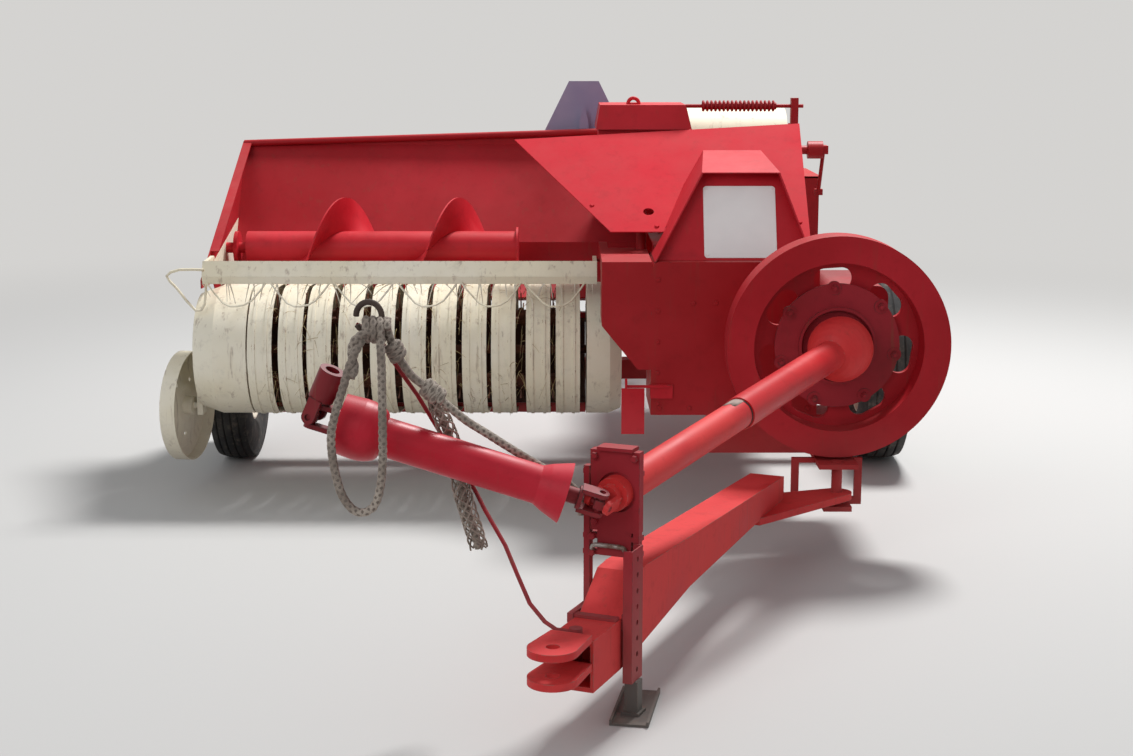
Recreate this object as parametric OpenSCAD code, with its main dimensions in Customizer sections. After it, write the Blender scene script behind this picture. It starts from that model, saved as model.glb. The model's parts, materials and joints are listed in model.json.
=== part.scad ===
// Pull-type square hay baler, parked on its drawbar stand.
// X runs to the bale case side, -Y to the hitch, Z up; the wheels stand on Z = 0.

/* [Bale case] */
// Inside width of the bale case
case_w = 457; // [400:1:500]
// Inside height of the bale case
case_h = 356; // [320:1:400]
// Wall of the bale case
case_wall = 5; // [3:1:8]
// Centre of the bale case across the machine
case_x = 585; // [570:1:600]
// Inside floor of the bale case above the ground
case_z = 545; // [530:1:560]
// Front end of the bale case
case_front = -700; // [-720:1:-690]
// Rear end of the closed part of the case
case_rear = 1000; // [960:1:1040]
// Length of the open rails behind the case
rail_len = 700; // [600:1:800]
// Side of the corner rails and of the case ribs
rail_w = 36; // [28:1:40]
// Front edge of the feed opening
feed_front = -430; // [-450:1:-400]
// Length of the feed opening
feed_len = 560; // [480:1:600]
// Width of a needle slot
slot_w = 26; // [22:1:32]
// Distance between the two needles
needle_gap = 230; // [200:1:260]

/* [Plunger] */
// Length of the plunger body
plunger_len = 450; // [400:1:480]
// Gap between the plunger and the case
plunger_gap = 6; // [5:0.5:8]
// Thickness of the plunger's plates
plunger_plate = 12; // [8:1:16]

/* [Front box] */
// Front face of the front box
box_front = -1050; // [-1080:1:-1020]
// Right-hand face of the front box
box_left = 286; // [280:1:292]
// Left-hand face of the front box
box_right = 850; // [840:1:856]
// Bottom of the front box
box_low = 384; // [370:1:400]
// Top of the front box
box_top = 907; // [907:1:920]
// Sheet of the front box
box_wall = 5; // [3:1:6]
// Corner radius of the front box
box_corner = 26; // [12:1:40]
// Right-hand face of the feeder side box
side_left = 119; // [110:1:126]

/* [Flywheel] */
// Outside diameter of the flywheel
fly_d = 711; // [680:1:730]
// Width of the flywheel rim
fly_w = 115; // [90:1:125]
// Radial thickness of the flywheel rim
fly_rim = 82; // [60:1:90]
// Distance of the flywheel axis from the machine's middle
fly_x = 866; // [860:1:870]
// Height of the flywheel axis
fly_z = 676; // [670:1:690]
// Front face of the flywheel
fly_front = -1410; // [-1425:1:-1400]
// Diameter of the slip clutch plate
clutch_d = 400; // [360:1:420]
// Bolt circle of the slip clutch
clutch_pcd = 372; // [300:1:384]
// Diameter of the ball shield over the joint
bell_d = 208; // [190:1:220]

/* [Drive line] */
// Outside diameter of the rear drive tube
tube_rear_d = 96; // [90:1:104]
// Outside diameter of the front drive tube
tube_front_d = 86; // [76:1:87]
// Outside diameter of the tractor half shaft's tube
half_d = 95; // [86:1:104]
// Wall of the shield tubes
tube_wall = 4; // [2:0.5:4]
// Radius of the hole in the tractor yoke
pto_r = 17.5; // [15:0.1:22]
// Length of the hole in the tractor yoke
pto_len = 62; // [50:1:80]

/* [Tongue] */
// Width of the tongue beam
beam_w = 110; // [100:1:116]
// Height of the beam's top at the front
beam_top = 341; // [335:1:345]
// Height of the beam's top at the rear
beam_top_rear = 285; // [275:1:292]
// Radius of the hitch pin hole
hitch_r = 16.5; // [12:0.1:20]
// Top of the upper hitch plate
hitch_top = 268; // [262:1:275]
// Bottom of the lower hitch plate
hitch_low = 180; // [170:1:200]
// Thickness of a hitch plate
hitch_plate = 18; // [12:1:24]
// Diameter of the tongue's swing pin
swing_pin_d = 34; // [26:1:40]
// Height of the drive shaft in its stand
stand_z = 548; // [540:1:556]

/* [Jack] */
// Width of the jack's perforated channel
jack_w = 72; // [64:1:76]
// Length of the jack's channel
jack_len = 334; // [300:1:360]
// Height of the channel's lower end
jack_low = 91; // [84:1:100]
// Side of the jack leg
leg_w = 34; // [28:1:34]
// Length of the jack's foot plate
foot_len = 240; // [180:1:250]

/* [Wheels] */
// Diameter of the left transport tyre
left_d = 745; // [720:1:770]
// Width of the left transport tyre
left_w = 193; // [170:1:210]
// Diameter of the right transport tyre
right_d = 686; // [660:1:710]
// Width of the right transport tyre
right_w = 157; // [140:1:170]
// Middle of the left tyre
left_x = 1229; // [1225:1:1240]
// Middle of the right tyre
right_x = -1302; // [-1310:1:-1298]
// Diameter of the wheel rims
rim_d = 381; // [370:1:400]
// Diameter of the spindles
spindle_d = 38; // [30:1:44]
// Side of the axle beam
axle_w = 76; // [60:1:80]
// Diameter of the gauge wheel
gauge_d = 400; // [380:1:410]
// Width of the gauge wheel rim
gauge_w = 55; // [45:1:65]
// Turn of the gauge wheel about the vertical
gauge_turn = 10; // [6:1:12]

/* [Platform] */
// Right-hand end of the feeder platform
plat_left = -1297; // [-1305:1:-1290]
// Height of the platform lip at its outer end
lip_z = 1233; // [1220:1:1245]
// Rise of the lip towards the bale case
lip_rise = 52; // [30:1:60]
// Platform sheet
plat_wall = 4; // [3:1:5]
// Diameter of the auger flighting
auger_d = 380; // [360:1:384]
// Diameter of the auger drum
drum_d = 125; // [100:1:150]
// Pitch of the auger flighting
auger_pitch = 432; // [380:1:480]
// Length of the auger drum
drum_len = 1031; // [990:1:1060]

/* [Pickup] */
// Radius of the stripper bands
band_r = 233; // [226:1:238]
// Width of a stripper band
band_w = 86; // [70:1:90]
// Sheet of the stripper bands
band_t = 3; // [2:0.5:4]
// Radius that the tine tips sweep
tine_r = 265; // [250:1:268]
// Diameter of a tine
tine_d = 5; // [4:0.5:6]
// Number of tine bars
tine_bars = 4; // [3:1:5]

/* [Twine box] */
// Length of the twine box
twine_len = 520; // [440:1:560]
// Width of the twine box
twine_w = 270; // [240:1:290]
// Height of the twine box
twine_h = 480; // [420:1:500]
// Sheet of the twine box
twine_wall = 3; // [2:0.5:4]

/* [Hidden] */

fit = 0.08; // radial clearance of a pin or shaft in its hole
seat = 0.3; // gap between curved or soft pieces that touch
red = [0.74, 0.12, 0.15];
dark_red = [0.42, 0.06, 0.07];
cream = [0.88, 0.85, 0.75];
steel = [0.45, 0.44, 0.42];
black = [0.06, 0.06, 0.065];
rope_colour = [0.55, 0.52, 0.47];

// bale case
case_in0 = case_x - case_w / 2;
case_in1 = case_x + case_w / 2;
case_x0 = case_in0 - case_wall;
case_x1 = case_in1 + case_wall;
case_top = case_z + case_h + case_wall;
case_low = case_z - case_wall;
rails_rear = case_rear + rail_len;
rail_x0 = case_x0 - rail_w;
rail_x1 = case_x1 + rail_w;
rib_ys = [-660, 230, 620, 965];

// needles swing about a cross axis at mid height of the case
needle_y = 750;
needle_z = case_z + case_h / 2;
needle_r = 350;
needle_tip = -38;
needle_tail = -118;
needle_t = 16;
yoke_gap = 8;
yoke_t = 12;
yoke_pin_d = 30;
slot_y0 = needle_y - needle_r - 20;
slot_y1 = needle_y - needle_r * cos(needle_tip) + 28;

// tongue: a beam from nose to tail, and the pin that it swings on
nose = [12, -2985];
tail = [635, -1500];
beam_len = norm(tail - nose);
beam_yaw = atan2(tail[1] - nose[1], tail[0] - nose[0]);
along = (tail - nose) / beam_len;
across = [along[1], -along[0]];
swing = [fly_x, -1430];
hitch_reach = 112;
nose_top = hitch_top - 16;
hitch_pin = nose - along * hitch_reach;
hitch_tip = 60;
beam_low = 123;
beam_low_rear = 215;
deck_low = 190;
deck_t = 22;

// drive line, from the ball shield over the flywheel to its stand
bell_at = [fly_x, swing[1], fly_z];
stand_at = [122, -2757, stand_z];
shaft_dir = (stand_at - bell_at) / norm(stand_at - bell_at);
rear_len = 790;
joint_at = stand_at + 90 * shaft_dir;
half_end = [-542, -2830, 737];
half_dir = (half_end - joint_at) / norm(half_end - joint_at);

// the pickup turns on pins below the platform
lift_y = -150;
lift_z = 430;
lift_pin_d = 25;
reel_y = -547;
reel_z = 526;
band_xs = [-1087, -978, -877, -765, -652, -541, -435, -327, -224, -101, 5];
tine_xs = [-1032.5, -927.5, -821, -708.5, -596.5, -488, -381, -275.5, -162.5, -48];

auger_y = -215;
auger_z = 862;
auger_gap = 8;
drum_x = -1214;
plat_right = 310;
guard_y = -700;
guard_z = 838;
guard_pin_y = -560;
guard_pin_z = 856;

gauge_at = [-1392, -565, 320];
tyre_seat = 30;

// the whole machine, for its origin
front_y = hitch_pin[1] - hitch_tip;
chute_len = 190;
rear_y = rails_rear + chute_len;
low_x = gauge_at[0] - gauge_d / 2 * sin(gauge_turn) - gauge_w / 2 * cos(gauge_turn);
high_x = left_x + left_w / 2;
mid_x = (low_x + high_x) / 2;
mid_y = (front_y + rear_y) / 2;

// route of the rope from the eye of the rope guide to the drive stand
run_pts = [[-419, -2861, 995], [-421, -2860, 974], [-412, -2852, 938], [-401, -2846, 909], [-370, -2836, 856], [-330, -2830, 821], [-278, -2820, 772],
    [-237, -2815, 737], [-195, -2810, 709], [-148, -2800, 676], [-106, -2786, 646], [-64, -2768, 616],
    [-30, -2746, 590], [0, -2733, 566], [24, -2722, 542], [34, -2716, 520], [36.2, -2715.4, 500], [36.2, -2715.4, 480]];
// the loop that hangs in front of the half shaft
loop_pts = [[-463, -2877, 984], [-466, -2877, 962], [-482, -2903, 936], [-501, -2925, 894], [-519, -2930, 836], [-538, -2930, 777],
    [-548, -2930, 723], [-544, -2926, 656], [-529, -2922, 589], [-506, -2920, 551], [-480, -2920, 540],
    [-453, -2920, 555], [-438, -2920, 595], [-430, -2925, 656], [-428, -2930, 717], [-428, -2925, 787],
    [-429, -2915, 845], [-430, -2905, 896], [-434, -2886, 945], [-437, -2873, 968], [-437, -2873, 984]];
// the frayed end that hangs behind the half shaft
tail_pts = [[-318, -2808.5, 816], [-315, -2807, 800], [-308, -2796, 765], [-297, -2778, 730], [-288, -2768, 700], [-279, -2764, 672],
    [-271, -2764, 644], [-265, -2764, 616], [-259, -2764, 585], [-255, -2764, 554], [-248, -2764, 528],
    [-241, -2764, 504], [-234, -2766, 480], [-226, -2768, 455], [-220, -2770, 432], [-214, -2770, 410]];
rope_d = 18;

// shapes shared by the pieces
module place() translate([-mid_x, -mid_y, 0]) children();

module block(x, y, z) {
    translate([x[0], y[0], z[0]]) cube([x[1] - x[0], y[1] - y[0], z[1] - z[0]]);
}

// a side outline, given as [y, z], between two x
module side_plate(x0, x1) translate([x0, 0, 0]) rotate([90, 0, 90]) linear_extrude(x1 - x0) children();

// a front outline, given as [x, z], between two y
module front_plate(y0, y1) translate([0, y1, 0]) rotate([90, 0, 0]) linear_extrude(y1 - y0) children();

// a cylinder along X
module drum(x0, x1, y, z, d) translate([x0, y, z]) rotate([0, 90, 0]) cylinder(d = d, h = x1 - x0, $fn = 64);

// a round bar from a to b
module rod(a, b, d, fn = 24) {
    v = b - a;
    translate(a) rotate([0, acos(v[2] / norm(v)), atan2(v[1], v[0])]) cylinder(d = d, h = norm(v), $fn = fn);
}

// round bars through a list of points, with balls at the bends
module bent_rod(pts, d, fn = 20) {
    for (i = [0 : len(pts) - 2]) rod(pts[i], pts[i + 1], d, fn);
    for (i = [1 : len(pts) - 2]) translate(pts[i]) sphere(d = d, $fn = fn);
}

// what lies along the tongue: x to the tail, y to the right-hand side, z up, from the nose
module on_tongue() translate([nose[0], nose[1], 0]) rotate([0, 0, beam_yaw]) children();

// sweep of a round section along points
function unit(v) = v / norm(v);
function heading(p, i) = unit(p[min(i + 1, len(p) - 1)] - p[max(i - 1, 0)]);
function ring(p, i, r, n) = let (t = heading(p, i), a = unit(cross(t, [0.2, 1, 0.1])), b = cross(t, a))
    [for (k = [0 : n - 1]) p[i] + r * (cos(360 * k / n) * a + sin(360 * k / n) * b)];
module cord_tube(p, d, n = 8) {
    m = len(p);
    pts = [for (i = [0 : m - 1]) each ring(p, i, d / 2, n)];
    sides = [for (i = [0 : m - 2]) for (k = [0 : n - 1])
        each [[i * n + k, (i + 1) * n + k, (i + 1) * n + (k + 1) % n], [i * n + k, (i + 1) * n + (k + 1) % n, i * n + (k + 1) % n]]];
    polyhedron(pts, concat(sides, [[for (k = [0 : n - 1]) k]], [[for (k = [n - 1 : -1 : 0]) (m - 1) * n + k]]));
}
// points on a smooth curve through a route
function blend_pt(p, i, t) = let (a = p[max(i - 1, 0)], b = p[i], c = p[i + 1], d = p[min(i + 2, len(p) - 1)])
    0.5 * (2 * b + (c - a) * t + (2 * a - 5 * b + 4 * c - d) * t * t + (3 * b - 3 * c + d - a) * t * t * t);
function smooth(p, n) = concat([for (i = [0 : len(p) - 2]) for (k = [0 : n - 1]) blend_pt(p, i, k / n)],
    [p[len(p) - 1]]);

// Axle beam with its spindles, the pads that carry the case, and the pickup's pivot lugs
axle_z = (left_d + right_d) / 4;
axle_x0 = right_x + right_w / 2 + 50;
axle_x1 = left_x - left_w / 2 - 45;
lug_xs = [-1110, 40];
post_xs = [-1000, -420];
module main_frame() color(dark_red) place() difference() {
    union() {
        block([axle_x0, axle_x1], [-axle_w / 2, axle_w / 2], [axle_z - axle_w / 2, axle_z + axle_w / 2]);
        drum(right_x - 30, axle_x0 + 5, 0, right_d / 2, spindle_d);
        drum(axle_x1 - 5, left_x + 30, 0, left_d / 2, spindle_d);
        for (x = [case_x0 + 10, case_x1 - 70])
            block([x, x + 60], [-80, 80], [axle_z + axle_w / 2 - 2, case_low - rail_w]);
        for (x = post_xs) side_plate(x, x + 50) polygon([[-36, axle_z + axle_w / 2 - 2], [36, axle_z + axle_w / 2 - 2],
            [-2, 780], [-40, 780], [auger_y, 670], [auger_y + 10, 600], [-130, 540]]);
        for (x = lug_xs) side_plate(x, x + 14) hull() {
            translate([-axle_w / 2 + 4, axle_z]) square([8, axle_w - 10], center = true);
            translate([lift_y, lift_z]) circle(d = 64, $fn = 32);
        }
    }
    drum(lug_xs[0] - 1, lug_xs[1] + 20, lift_y, lift_z, lift_pin_d + 2 * fit);
    drum(post_xs[0] - 1, post_xs[1] + 51, auger_y, auger_z, 2 * (trough_r + plat_wall + seat));
}

// Bale case: four walls, corner rails that run on behind it, and rib hoops
module bale_case() color(red) place() difference() {
    union() {
        block([case_x0, case_x1], [case_front, case_rear], [case_low, case_top]);
        for (x = [rail_x0, case_x1]) for (z = [case_low, case_top - rail_w])
            block([x, x + rail_w], [case_front, rails_rear], [z, z + rail_w]);
        for (y = rib_ys) block([rail_x0, rail_x1], [y, y + rail_w], [case_low - rail_w, case_top]);
        for (x = [case_x0 + 10, case_x1 - 70])
            block([x, x + 60], [-80, 80], [case_low - rail_w, case_low + 1]);
        for (x = [rail_x0, case_x1]) block([x + rail_w / 2 - 4, x + rail_w / 2 + 4],
            [rib_ys[1], case_rear], [needle_z + 60, needle_z + 90]);
        for (x = [rail_x0, case_x1]) block([x, x + rail_w], [needle_y - 50, needle_y + 50], [needle_z - 50, needle_z + 50]);
        for (x = [rail_x0, case_x1]) block([x, x + rail_w], [rails_rear - rail_w, rails_rear], [case_low, case_top]);
        drum(case_x - 60, case_x + 60, meter_y, meter_z, meter_pin_d);
        for (x = [case_x - 60, case_x + 48]) side_plate(x, x + 12) polygon([[meter_y - 60, case_top - 2],
            [meter_y + 60, case_top - 2], [meter_y + 20, meter_z + 18], [meter_y - 20, meter_z + 18]]);
    }
    block([case_in0, case_in1], [case_front - 1, rails_rear + 1], [case_z, case_z + case_h]);
    block([rail_x0 - 1, case_in0 + 1], [feed_front, feed_front + feed_len], [case_z, case_z + case_h]);
    block([case_x0, case_in0 + 1], [case_front - 1, feed_front + 1], [case_z, case_z + case_h]);
    block([case_x0, case_in0 + 1], [feed_front + feed_len - 1, case_rear + 1], [case_z, case_z + case_h]);
    for (x = [case_x - needle_gap / 2, case_x + needle_gap / 2])
        block([x - slot_w / 2, x + slot_w / 2], [slot_y0, slot_y1], [case_low - rail_w - 1, case_top + 1]);
    block([case_x - 22, case_x + 22], [700, 940], [case_z + case_h - 1, case_top + 1]);
    drum(rail_x0 - 1, rail_x1 + 1, needle_y, needle_z, yoke_pin_d + 2 * fit);
}

// The case's wall beside the pickup, in two plates before and behind the feed opening
module feed_wall() color(red) place() difference() {
    for (y = [[case_front, feed_front], [feed_front + feed_len, case_rear]])
        block([case_x0, case_in0], y, [case_z, case_z + case_h]);
    drum(rail_x0 - 1, case_in0 + 1, needle_y, needle_z, yoke_pin_d + 2 * fit);
}

// Sheet box over the crank at the front of the case, open to it at the back
module front_box() color(dark_red) place() difference() {
    front_plate(box_front, case_front) hull() {
        for (x = [box_left + box_corner, box_right - box_corner])
            translate([x, box_top - box_corner]) circle(box_corner, $fn = 32);
        translate([box_left, box_low]) square([box_right - box_left, 20]);
    }
    front_plate(box_front + box_wall, case_front - box_wall) hull() {
        for (x = [box_left + box_corner, box_right - box_corner])
            translate([x, box_top - box_corner]) circle(box_corner - box_wall, $fn = 32);
        translate([box_left + box_wall, box_low + box_wall]) square([box_right - box_left - 2 * box_wall, 20]);
    }
    block([case_in0, case_in1], [case_front - box_wall - 1, case_front + 1], [case_z, case_z + case_h]);
}

// Feeder side box: a deep front part with a slanted lower corner, and a shallow part over the pickup
side_back = -820;
side_deep = -420;
side_shelf = -620;
side_slant = [690, 540];
slant_x = 242;
side_post_d = 36;
module side_box() color(dark_red) place() {
    front_plate(box_front, side_back) difference() {
        polygon([[side_left, box_top], [side_left, side_slant[0]], [slant_x, side_slant[1]],
            [box_left, side_slant[1]], [box_left, box_top]]);
        polygon([[side_left + box_wall, box_top - box_wall], [side_left + box_wall, side_slant[0] + 2],
            [slant_x + 2, side_slant[1] + box_wall], [box_left - box_wall, side_slant[1] + box_wall],
            [box_left - box_wall, box_top - box_wall]]);
    }
    front_plate(box_front, box_front + box_wall) polygon([[side_left, box_top], [side_left, side_slant[0]],
        [slant_x, side_slant[1]], [box_left, side_slant[1]], [box_left, box_top]]);
    block([side_left, box_left], [side_back - 1, side_shelf], [box_top - 60, box_top]);
    block([side_left, side_left + 30], [side_shelf - 1, side_deep], [box_top - 60, box_top]);
    // post up to the sloping sheet
    translate([box_left - side_post_d / 2 - 2, side_shelf - side_post_d, box_top - 2]) cylinder(d = side_post_d,
        h = slope_low[1] - box_top + 2 - seat + (side_shelf - 1.5 * side_post_d - slope_low[0]) * tan(slope_lean), $fn = 48);
    drum(side_left - 15, side_left + 2, guard_pin_y, guard_pin_z, guard_pin_d);
}

// Drive housing beside the front box, with the bearing nose that carries the flywheel shaft
gear_y0 = -1180;
gear_y1 = -760;
shaft_d = 60;
module gearbox() color(dark_red) place() {
    difference() {
        union() {
            front_plate(gear_y0, gear_y1) hull() {
                for (x = [box_right + 40, box_right + 170]) for (z = [fly_z - 120, fly_z + 130])
                    translate([x, z]) circle(38, $fn = 32);
            }
            block([box_right, box_right + 10], [gear_y0 + 140, gear_y1 - 20], [fly_z - 110, fly_z + 120]);
            translate([fly_x, gear_y0 + 1, fly_z]) rotate([90, 0, 0]) cylinder(d1 = 190, d2 = 130, h = 96, $fn = 64);
            for (a = [0 : 60 : 300]) translate([fly_x, gear_y0 + 1, fly_z]) rotate([90, a, 0])
                translate([0, -6, 0]) cube([105, 12, 30]);
        }
        translate([fly_x, gear_y0 + 90, fly_z]) rotate([90, 0, 0]) cylinder(d = shaft_d + 2 * fit, h = 300, $fn = 64);
    }
}

// Tapered hood above the front box: sloping side walls, a roof with a lip, and a recessed face
hood_top = 1196;
hood_back = -560;
module drive_shield() color(red) place() difference() {
    union() {
    difference() {
        shield_form(0);
        shield_form(4);
    }
    // the recessed face panel
    intersection() {
        shield_form(1);
        translate([0, box_front, box_top]) rotate([-shield_lean, 0, 0])
            translate([box_left, 46, -30]) cube([box_right, 4, 420]);
    }
    }
    translate([-400, slope_low[0], slope_low[1]]) rotate([slope_lean, 0, 0]) translate([0, 0, slope_t + seat - 900])
        cube([1600, 900, 900]);
    block([box_left - 10, box_right + 10], [slope_low[0] + 4, 0], [box_top - 10, 1000]);
}
shield_lean = 26;
// the hood's block, made smaller all round by e
module shield_form(e) {
    roof = [460, 726];
    polyhedron([
        [box_left + 10 + e, box_front - e * 2, box_top], [box_right - 20 - e, box_front - e * 2, box_top],
        [box_right - 20 - e, hood_back + e * 2, box_top], [box_left + 10 + e, hood_back + e * 2, box_top],
        [roof[0] + e, -910 - e * 2, hood_top - e], [roof[1] - e, -910 - e * 2, hood_top - e],
        [roof[1] - 30 - e, hood_back + e * 2, hood_top + 55 - e], [roof[0] + 30 + e, hood_back + e * 2, hood_top + 55 - e]],
        [[0, 1, 2, 3], [4, 7, 6, 5], [0, 4, 5, 1], [1, 5, 6, 2], [2, 6, 7, 3], [3, 7, 4, 0]]);
}

// Upper front sheet that leans back over the feed, with its side cheek down to the case
slope_low = [-800, 960];
slope_lean = 34.6;
slope_w = 612;
slope_t = 4;
cheek_y = -180;
module slope_sheet() color(red) place() {
    translate([0, slope_low[0], slope_low[1]]) rotate([slope_lean, 0, 0]) difference() {
        linear_extrude(slope_t) polygon([[154, 31], [383, 31], [383, 0], [case_x1 + 30, 0], [case_x1 + 52, slope_w + 40],
            [-192, slope_w - 58]]);
        translate([290, 140, -1]) cylinder(d = 38, h = 20, $fn = 32);
    }
    side_plate(case_x1 + 20, case_x1 + 26) polygon([[slope_low[0], slope_low[1] + 2], [slope_low[0], case_top + 2],
        [cheek_y, case_top + 2], [cheek_y, 1331], [-262, 1331]]);
    block([case_x1 - 30, case_x1 + 26], [case_front + 10, cheek_y], [case_top, case_top + 4]);
    for (y = [case_front + 40, cheek_y - 60])
        block([case_x1 - 30, case_x1 + 20], [y, y + 6], [case_top + 4, case_top + 46]);
}

// Packer housing behind the sloping sheet, with the tapered cap and its lifting eye
pack_y = [-250, 70];
pack_z = [990, 1312];
module packer_housing() color(red) place() {
    difference() {
        block([120, 460], pack_y, [pack_z[0], pack_z[1]]);
        block([124, 456], [pack_y[0] + 4, pack_y[1] - 4], [pack_z[0] - 1, pack_z[1] - 4]);
        translate([0, slope_low[0], slope_low[1]]) rotate([slope_lean, 0, 0]) translate([0, 0, -600 + slope_t + 2])
            translate([0, 0, 602]) cube([900, 900, 400]);
    }
    difference() {
        cap_form(0);
        cap_form(4);
    }
    translate([252, -200, 1405]) rotate([90, 0, 0]) rotate_extrude($fn = 32) translate([20, 0]) circle(7, $fn = 16);
    translate([235, -212, 1398]) cube([34, 24, 10]);
}
module cap_form(e) polyhedron([
    [110 + e, -290 + e, 1312], [467 - e, -290 + e, 1312], [467 - e, pack_y[1] - e, 1312], [110 + e, pack_y[1] - e, 1312],
    [125 + e, -270 + e, 1402 - e], [446 - e, -270 + e, 1402 - e], [446 - e, pack_y[1] - 20 - e, 1402 - e],
    [125 + e, pack_y[1] - 20 - e, 1402 - e]],
    [[0, 1, 2, 3], [4, 7, 6, 5], [0, 4, 5, 1], [1, 5, 6, 2], [2, 6, 7, 3], [3, 7, 4, 0]]);

// Feeder platform: dished floor under the auger, back wall with a rolled lip, and the outer end sheet
plat_back = 250;
trough_front = -85;
trough_r = auger_d / 2 + auger_gap;
end_tip = [-700, 800];
auger_shaft_d = 40;
module feeder_platform() color(red) place() {
    side_plate(plat_left, plat_right) {
        // the trough
        difference() {
            translate([auger_y, auger_z]) circle(trough_r + plat_wall, $fn = 96);
            translate([auger_y, auger_z]) circle(trough_r, $fn = 96);
            translate([auger_y - 400, auger_z]) square([800, 400]);
            translate([auger_y - 400, auger_z - 300]) square([400 + trough_front, 400]);
        }
        // the back wall
        polygon([[auger_y + trough_r, auger_z - 2], [auger_y + trough_r + plat_wall, auger_z - 2],
            [plat_back + plat_wall, lip_z - 6], [plat_back, lip_z - 6]]);
    }
    // the wall above the lip's lower end, which rises towards the case
    front_plate(plat_back, plat_back + plat_wall) polygon([[plat_left, lip_z - 10], [plat_right, lip_z - 10],
        [plat_right, lip_z + lip_rise], [plat_left, lip_z]]);
    rod([plat_left, plat_back - 8, lip_z], [plat_right, plat_back - 8, lip_z + lip_rise], 26);
    difference() {
        union() {
            side_plate(plat_left - plat_wall, plat_left) end_outline();
            drum(plat_left - 2, plat_left + 18, guard_pin_y, guard_pin_z, guard_pin_d);
            // flange along the sloping front edge
            side_plate(plat_left, plat_left + 30) polygon([[plat_back - 8, lip_z + 8], [plat_back - 14, lip_z - 2],
                [-514, 880], [-520, 884]]);
        }
        drum(plat_left - 20, plat_left + 40, auger_y, auger_z, auger_shaft_d + 2 * fit);
    }
}
guard_pin_d = 12;
module end_outline() polygon([[plat_back + plat_wall, lip_z], [plat_back - 8, lip_z + 8], end_tip, [end_tip[0], end_tip[1] - 30],
    [-480, 764], [-420, 700], [auger_y + trough_front, auger_z - 186], [auger_y, auger_z - trough_r - plat_wall],
    [auger_y + 120, auger_z - 162], [auger_y + trough_r + plat_wall, auger_z - 30]]);

// Auger: a drum with its flighting, on a stub shaft through the end sheet
flight_t = 6;
flight_turn = 33; // turn of the blade at the drum's outer end
module auger() color(red) place() {
    drum(drum_x, drum_x + drum_len, auger_y, auger_z, drum_d);
    drum(plat_left - 30, drum_x + 1, auger_y, auger_z, auger_shaft_d);
    drum(plat_left + 36, plat_left + 50, auger_y, auger_z, drum_d);
    drum(drum_x + drum_len - 8, drum_x + drum_len, auger_y, auger_z, drum_d + 30);
}
module auger_flight() color(red) place() translate([drum_x, auger_y, auger_z])
    flighting(drum_d / 2 + 0.6, auger_d / 2, 40, drum_len - 60);
// a helical blade about X from x0, with len along the axis
module flighting(r0, r1, x0, len) {
    steps = ceil(24 * len / auger_pitch);
    pts = [for (i = [0 : steps]) let (x = x0 + len * i / steps, a = flight_turn - 360 * x / auger_pitch)
        each [for (c = [[r0, 0], [r1, 0], [r1, flight_t], [r0, flight_t]]) [x + c[1], c[0] * cos(a), c[0] * sin(a)]]];
    sides = [for (i = [0 : steps - 1]) for (k = [0 : 3]) let (a = i * 4 + k, b = a + 4, c = (i + 1) * 4 + (k + 1) % 4)
        each [[a, c, b], [a, c - 4, c]]];
    polyhedron(pts, concat(sides, [[3, 2, 1, 0]], [[for (k = [0 : 3]) steps * 4 + k]]));
}

// Coil spring on its rod above the sloping sheet, with the end bracket
spring_y = -200;
spring_z = 1396;
module spring_rod() color(dark_red) place() {
    drum(449, 892, spring_y, spring_z, 14);
    for (i = [0 : 17]) translate([515 + i * 15.5, spring_y, spring_z]) rotate([0, 90, 0])
        rotate_extrude($fn = 24) translate([17, 0]) circle(4.5, $fn = 8);
    drum(510, 790, spring_y, spring_z, 27);
    block([case_x1 + 26 + seat, case_x1 + 54], [spring_y - 16, spring_y + 16], [1280, 1426]);
}

// Curved cover over the knotters
knot_y = 450;
knot_z = 1194;
cover_r = 172;
module knotter_hood() color(cream) place() {
    difference() {
        drum(330, 898, knot_y, knot_z, 2 * cover_r);
        drum(334, 894, knot_y, knot_z, 2 * cover_r - 8);
        block([300, 920], [knot_y - 200, knot_y + 200], [knot_z - 200, knot_z - 40]);
        drum(320, 920, knot_y, knot_z, 44);
    }
    for (x = [rail_x0 + 18.5, rail_x1 - 18])
        side_plate(x, x + 4) polygon([[knot_y - 100, case_top], [knot_y - 40, case_top], [knot_y - 40, knot_z + 165],
            [knot_y - 100, knot_z + 137]]);
}

// Two knotters on one shaft above the case, with the crank and link at the shaft's end
knot_shaft_d = 36;
module knotter() color(dark_red) place() {
    difference() {
        union() {
            drum(345, 1062, knot_y, knot_z, knot_shaft_d);
            for (s = [-1, 1]) translate([case_x + s * needle_gap / 2, 0, 0]) {
                drum(26, 52, knot_y, knot_z, 290);
                drum(10, 66, knot_y, knot_z, 90);
                side_plate(-60, -46) polygon([[knot_y - 70, case_top], [knot_y + 110, case_top],
                    [knot_y + 40, knot_z + 30], [knot_y - 40, knot_z + 30]]);
                drum(-80, -20, knot_y + 60, knot_z - 160, 70);
                block([-60, 30], [knot_y + 30, knot_y + 90], [knot_z - 190, knot_z - 130]);
            }
            side_plate(case_x1 - 14, case_x1) polygon([[knot_y - 60, case_top], [knot_y + 90, case_top],
                [knot_y + 40, knot_z + 40], [knot_y - 40, knot_z + 40]]);
            drum(1000, 1062, knot_y, knot_z, 72);
            rod([1072, knot_y, knot_z], [1072, knot_y + 40, knot_z + 4], 20);
        }
    }
    block([1062, 1082], [knot_y - 30, knot_y + 56], [knot_z - 16, knot_z + 18]);
    rod([1072, knot_y + 46, knot_z - 10], [1056, knot_y + 46, knot_z - 170], 16);
    block([1040, 1072], [knot_y + 30, knot_y + 62], [knot_z - 190, knot_z - 165]);
}

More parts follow.
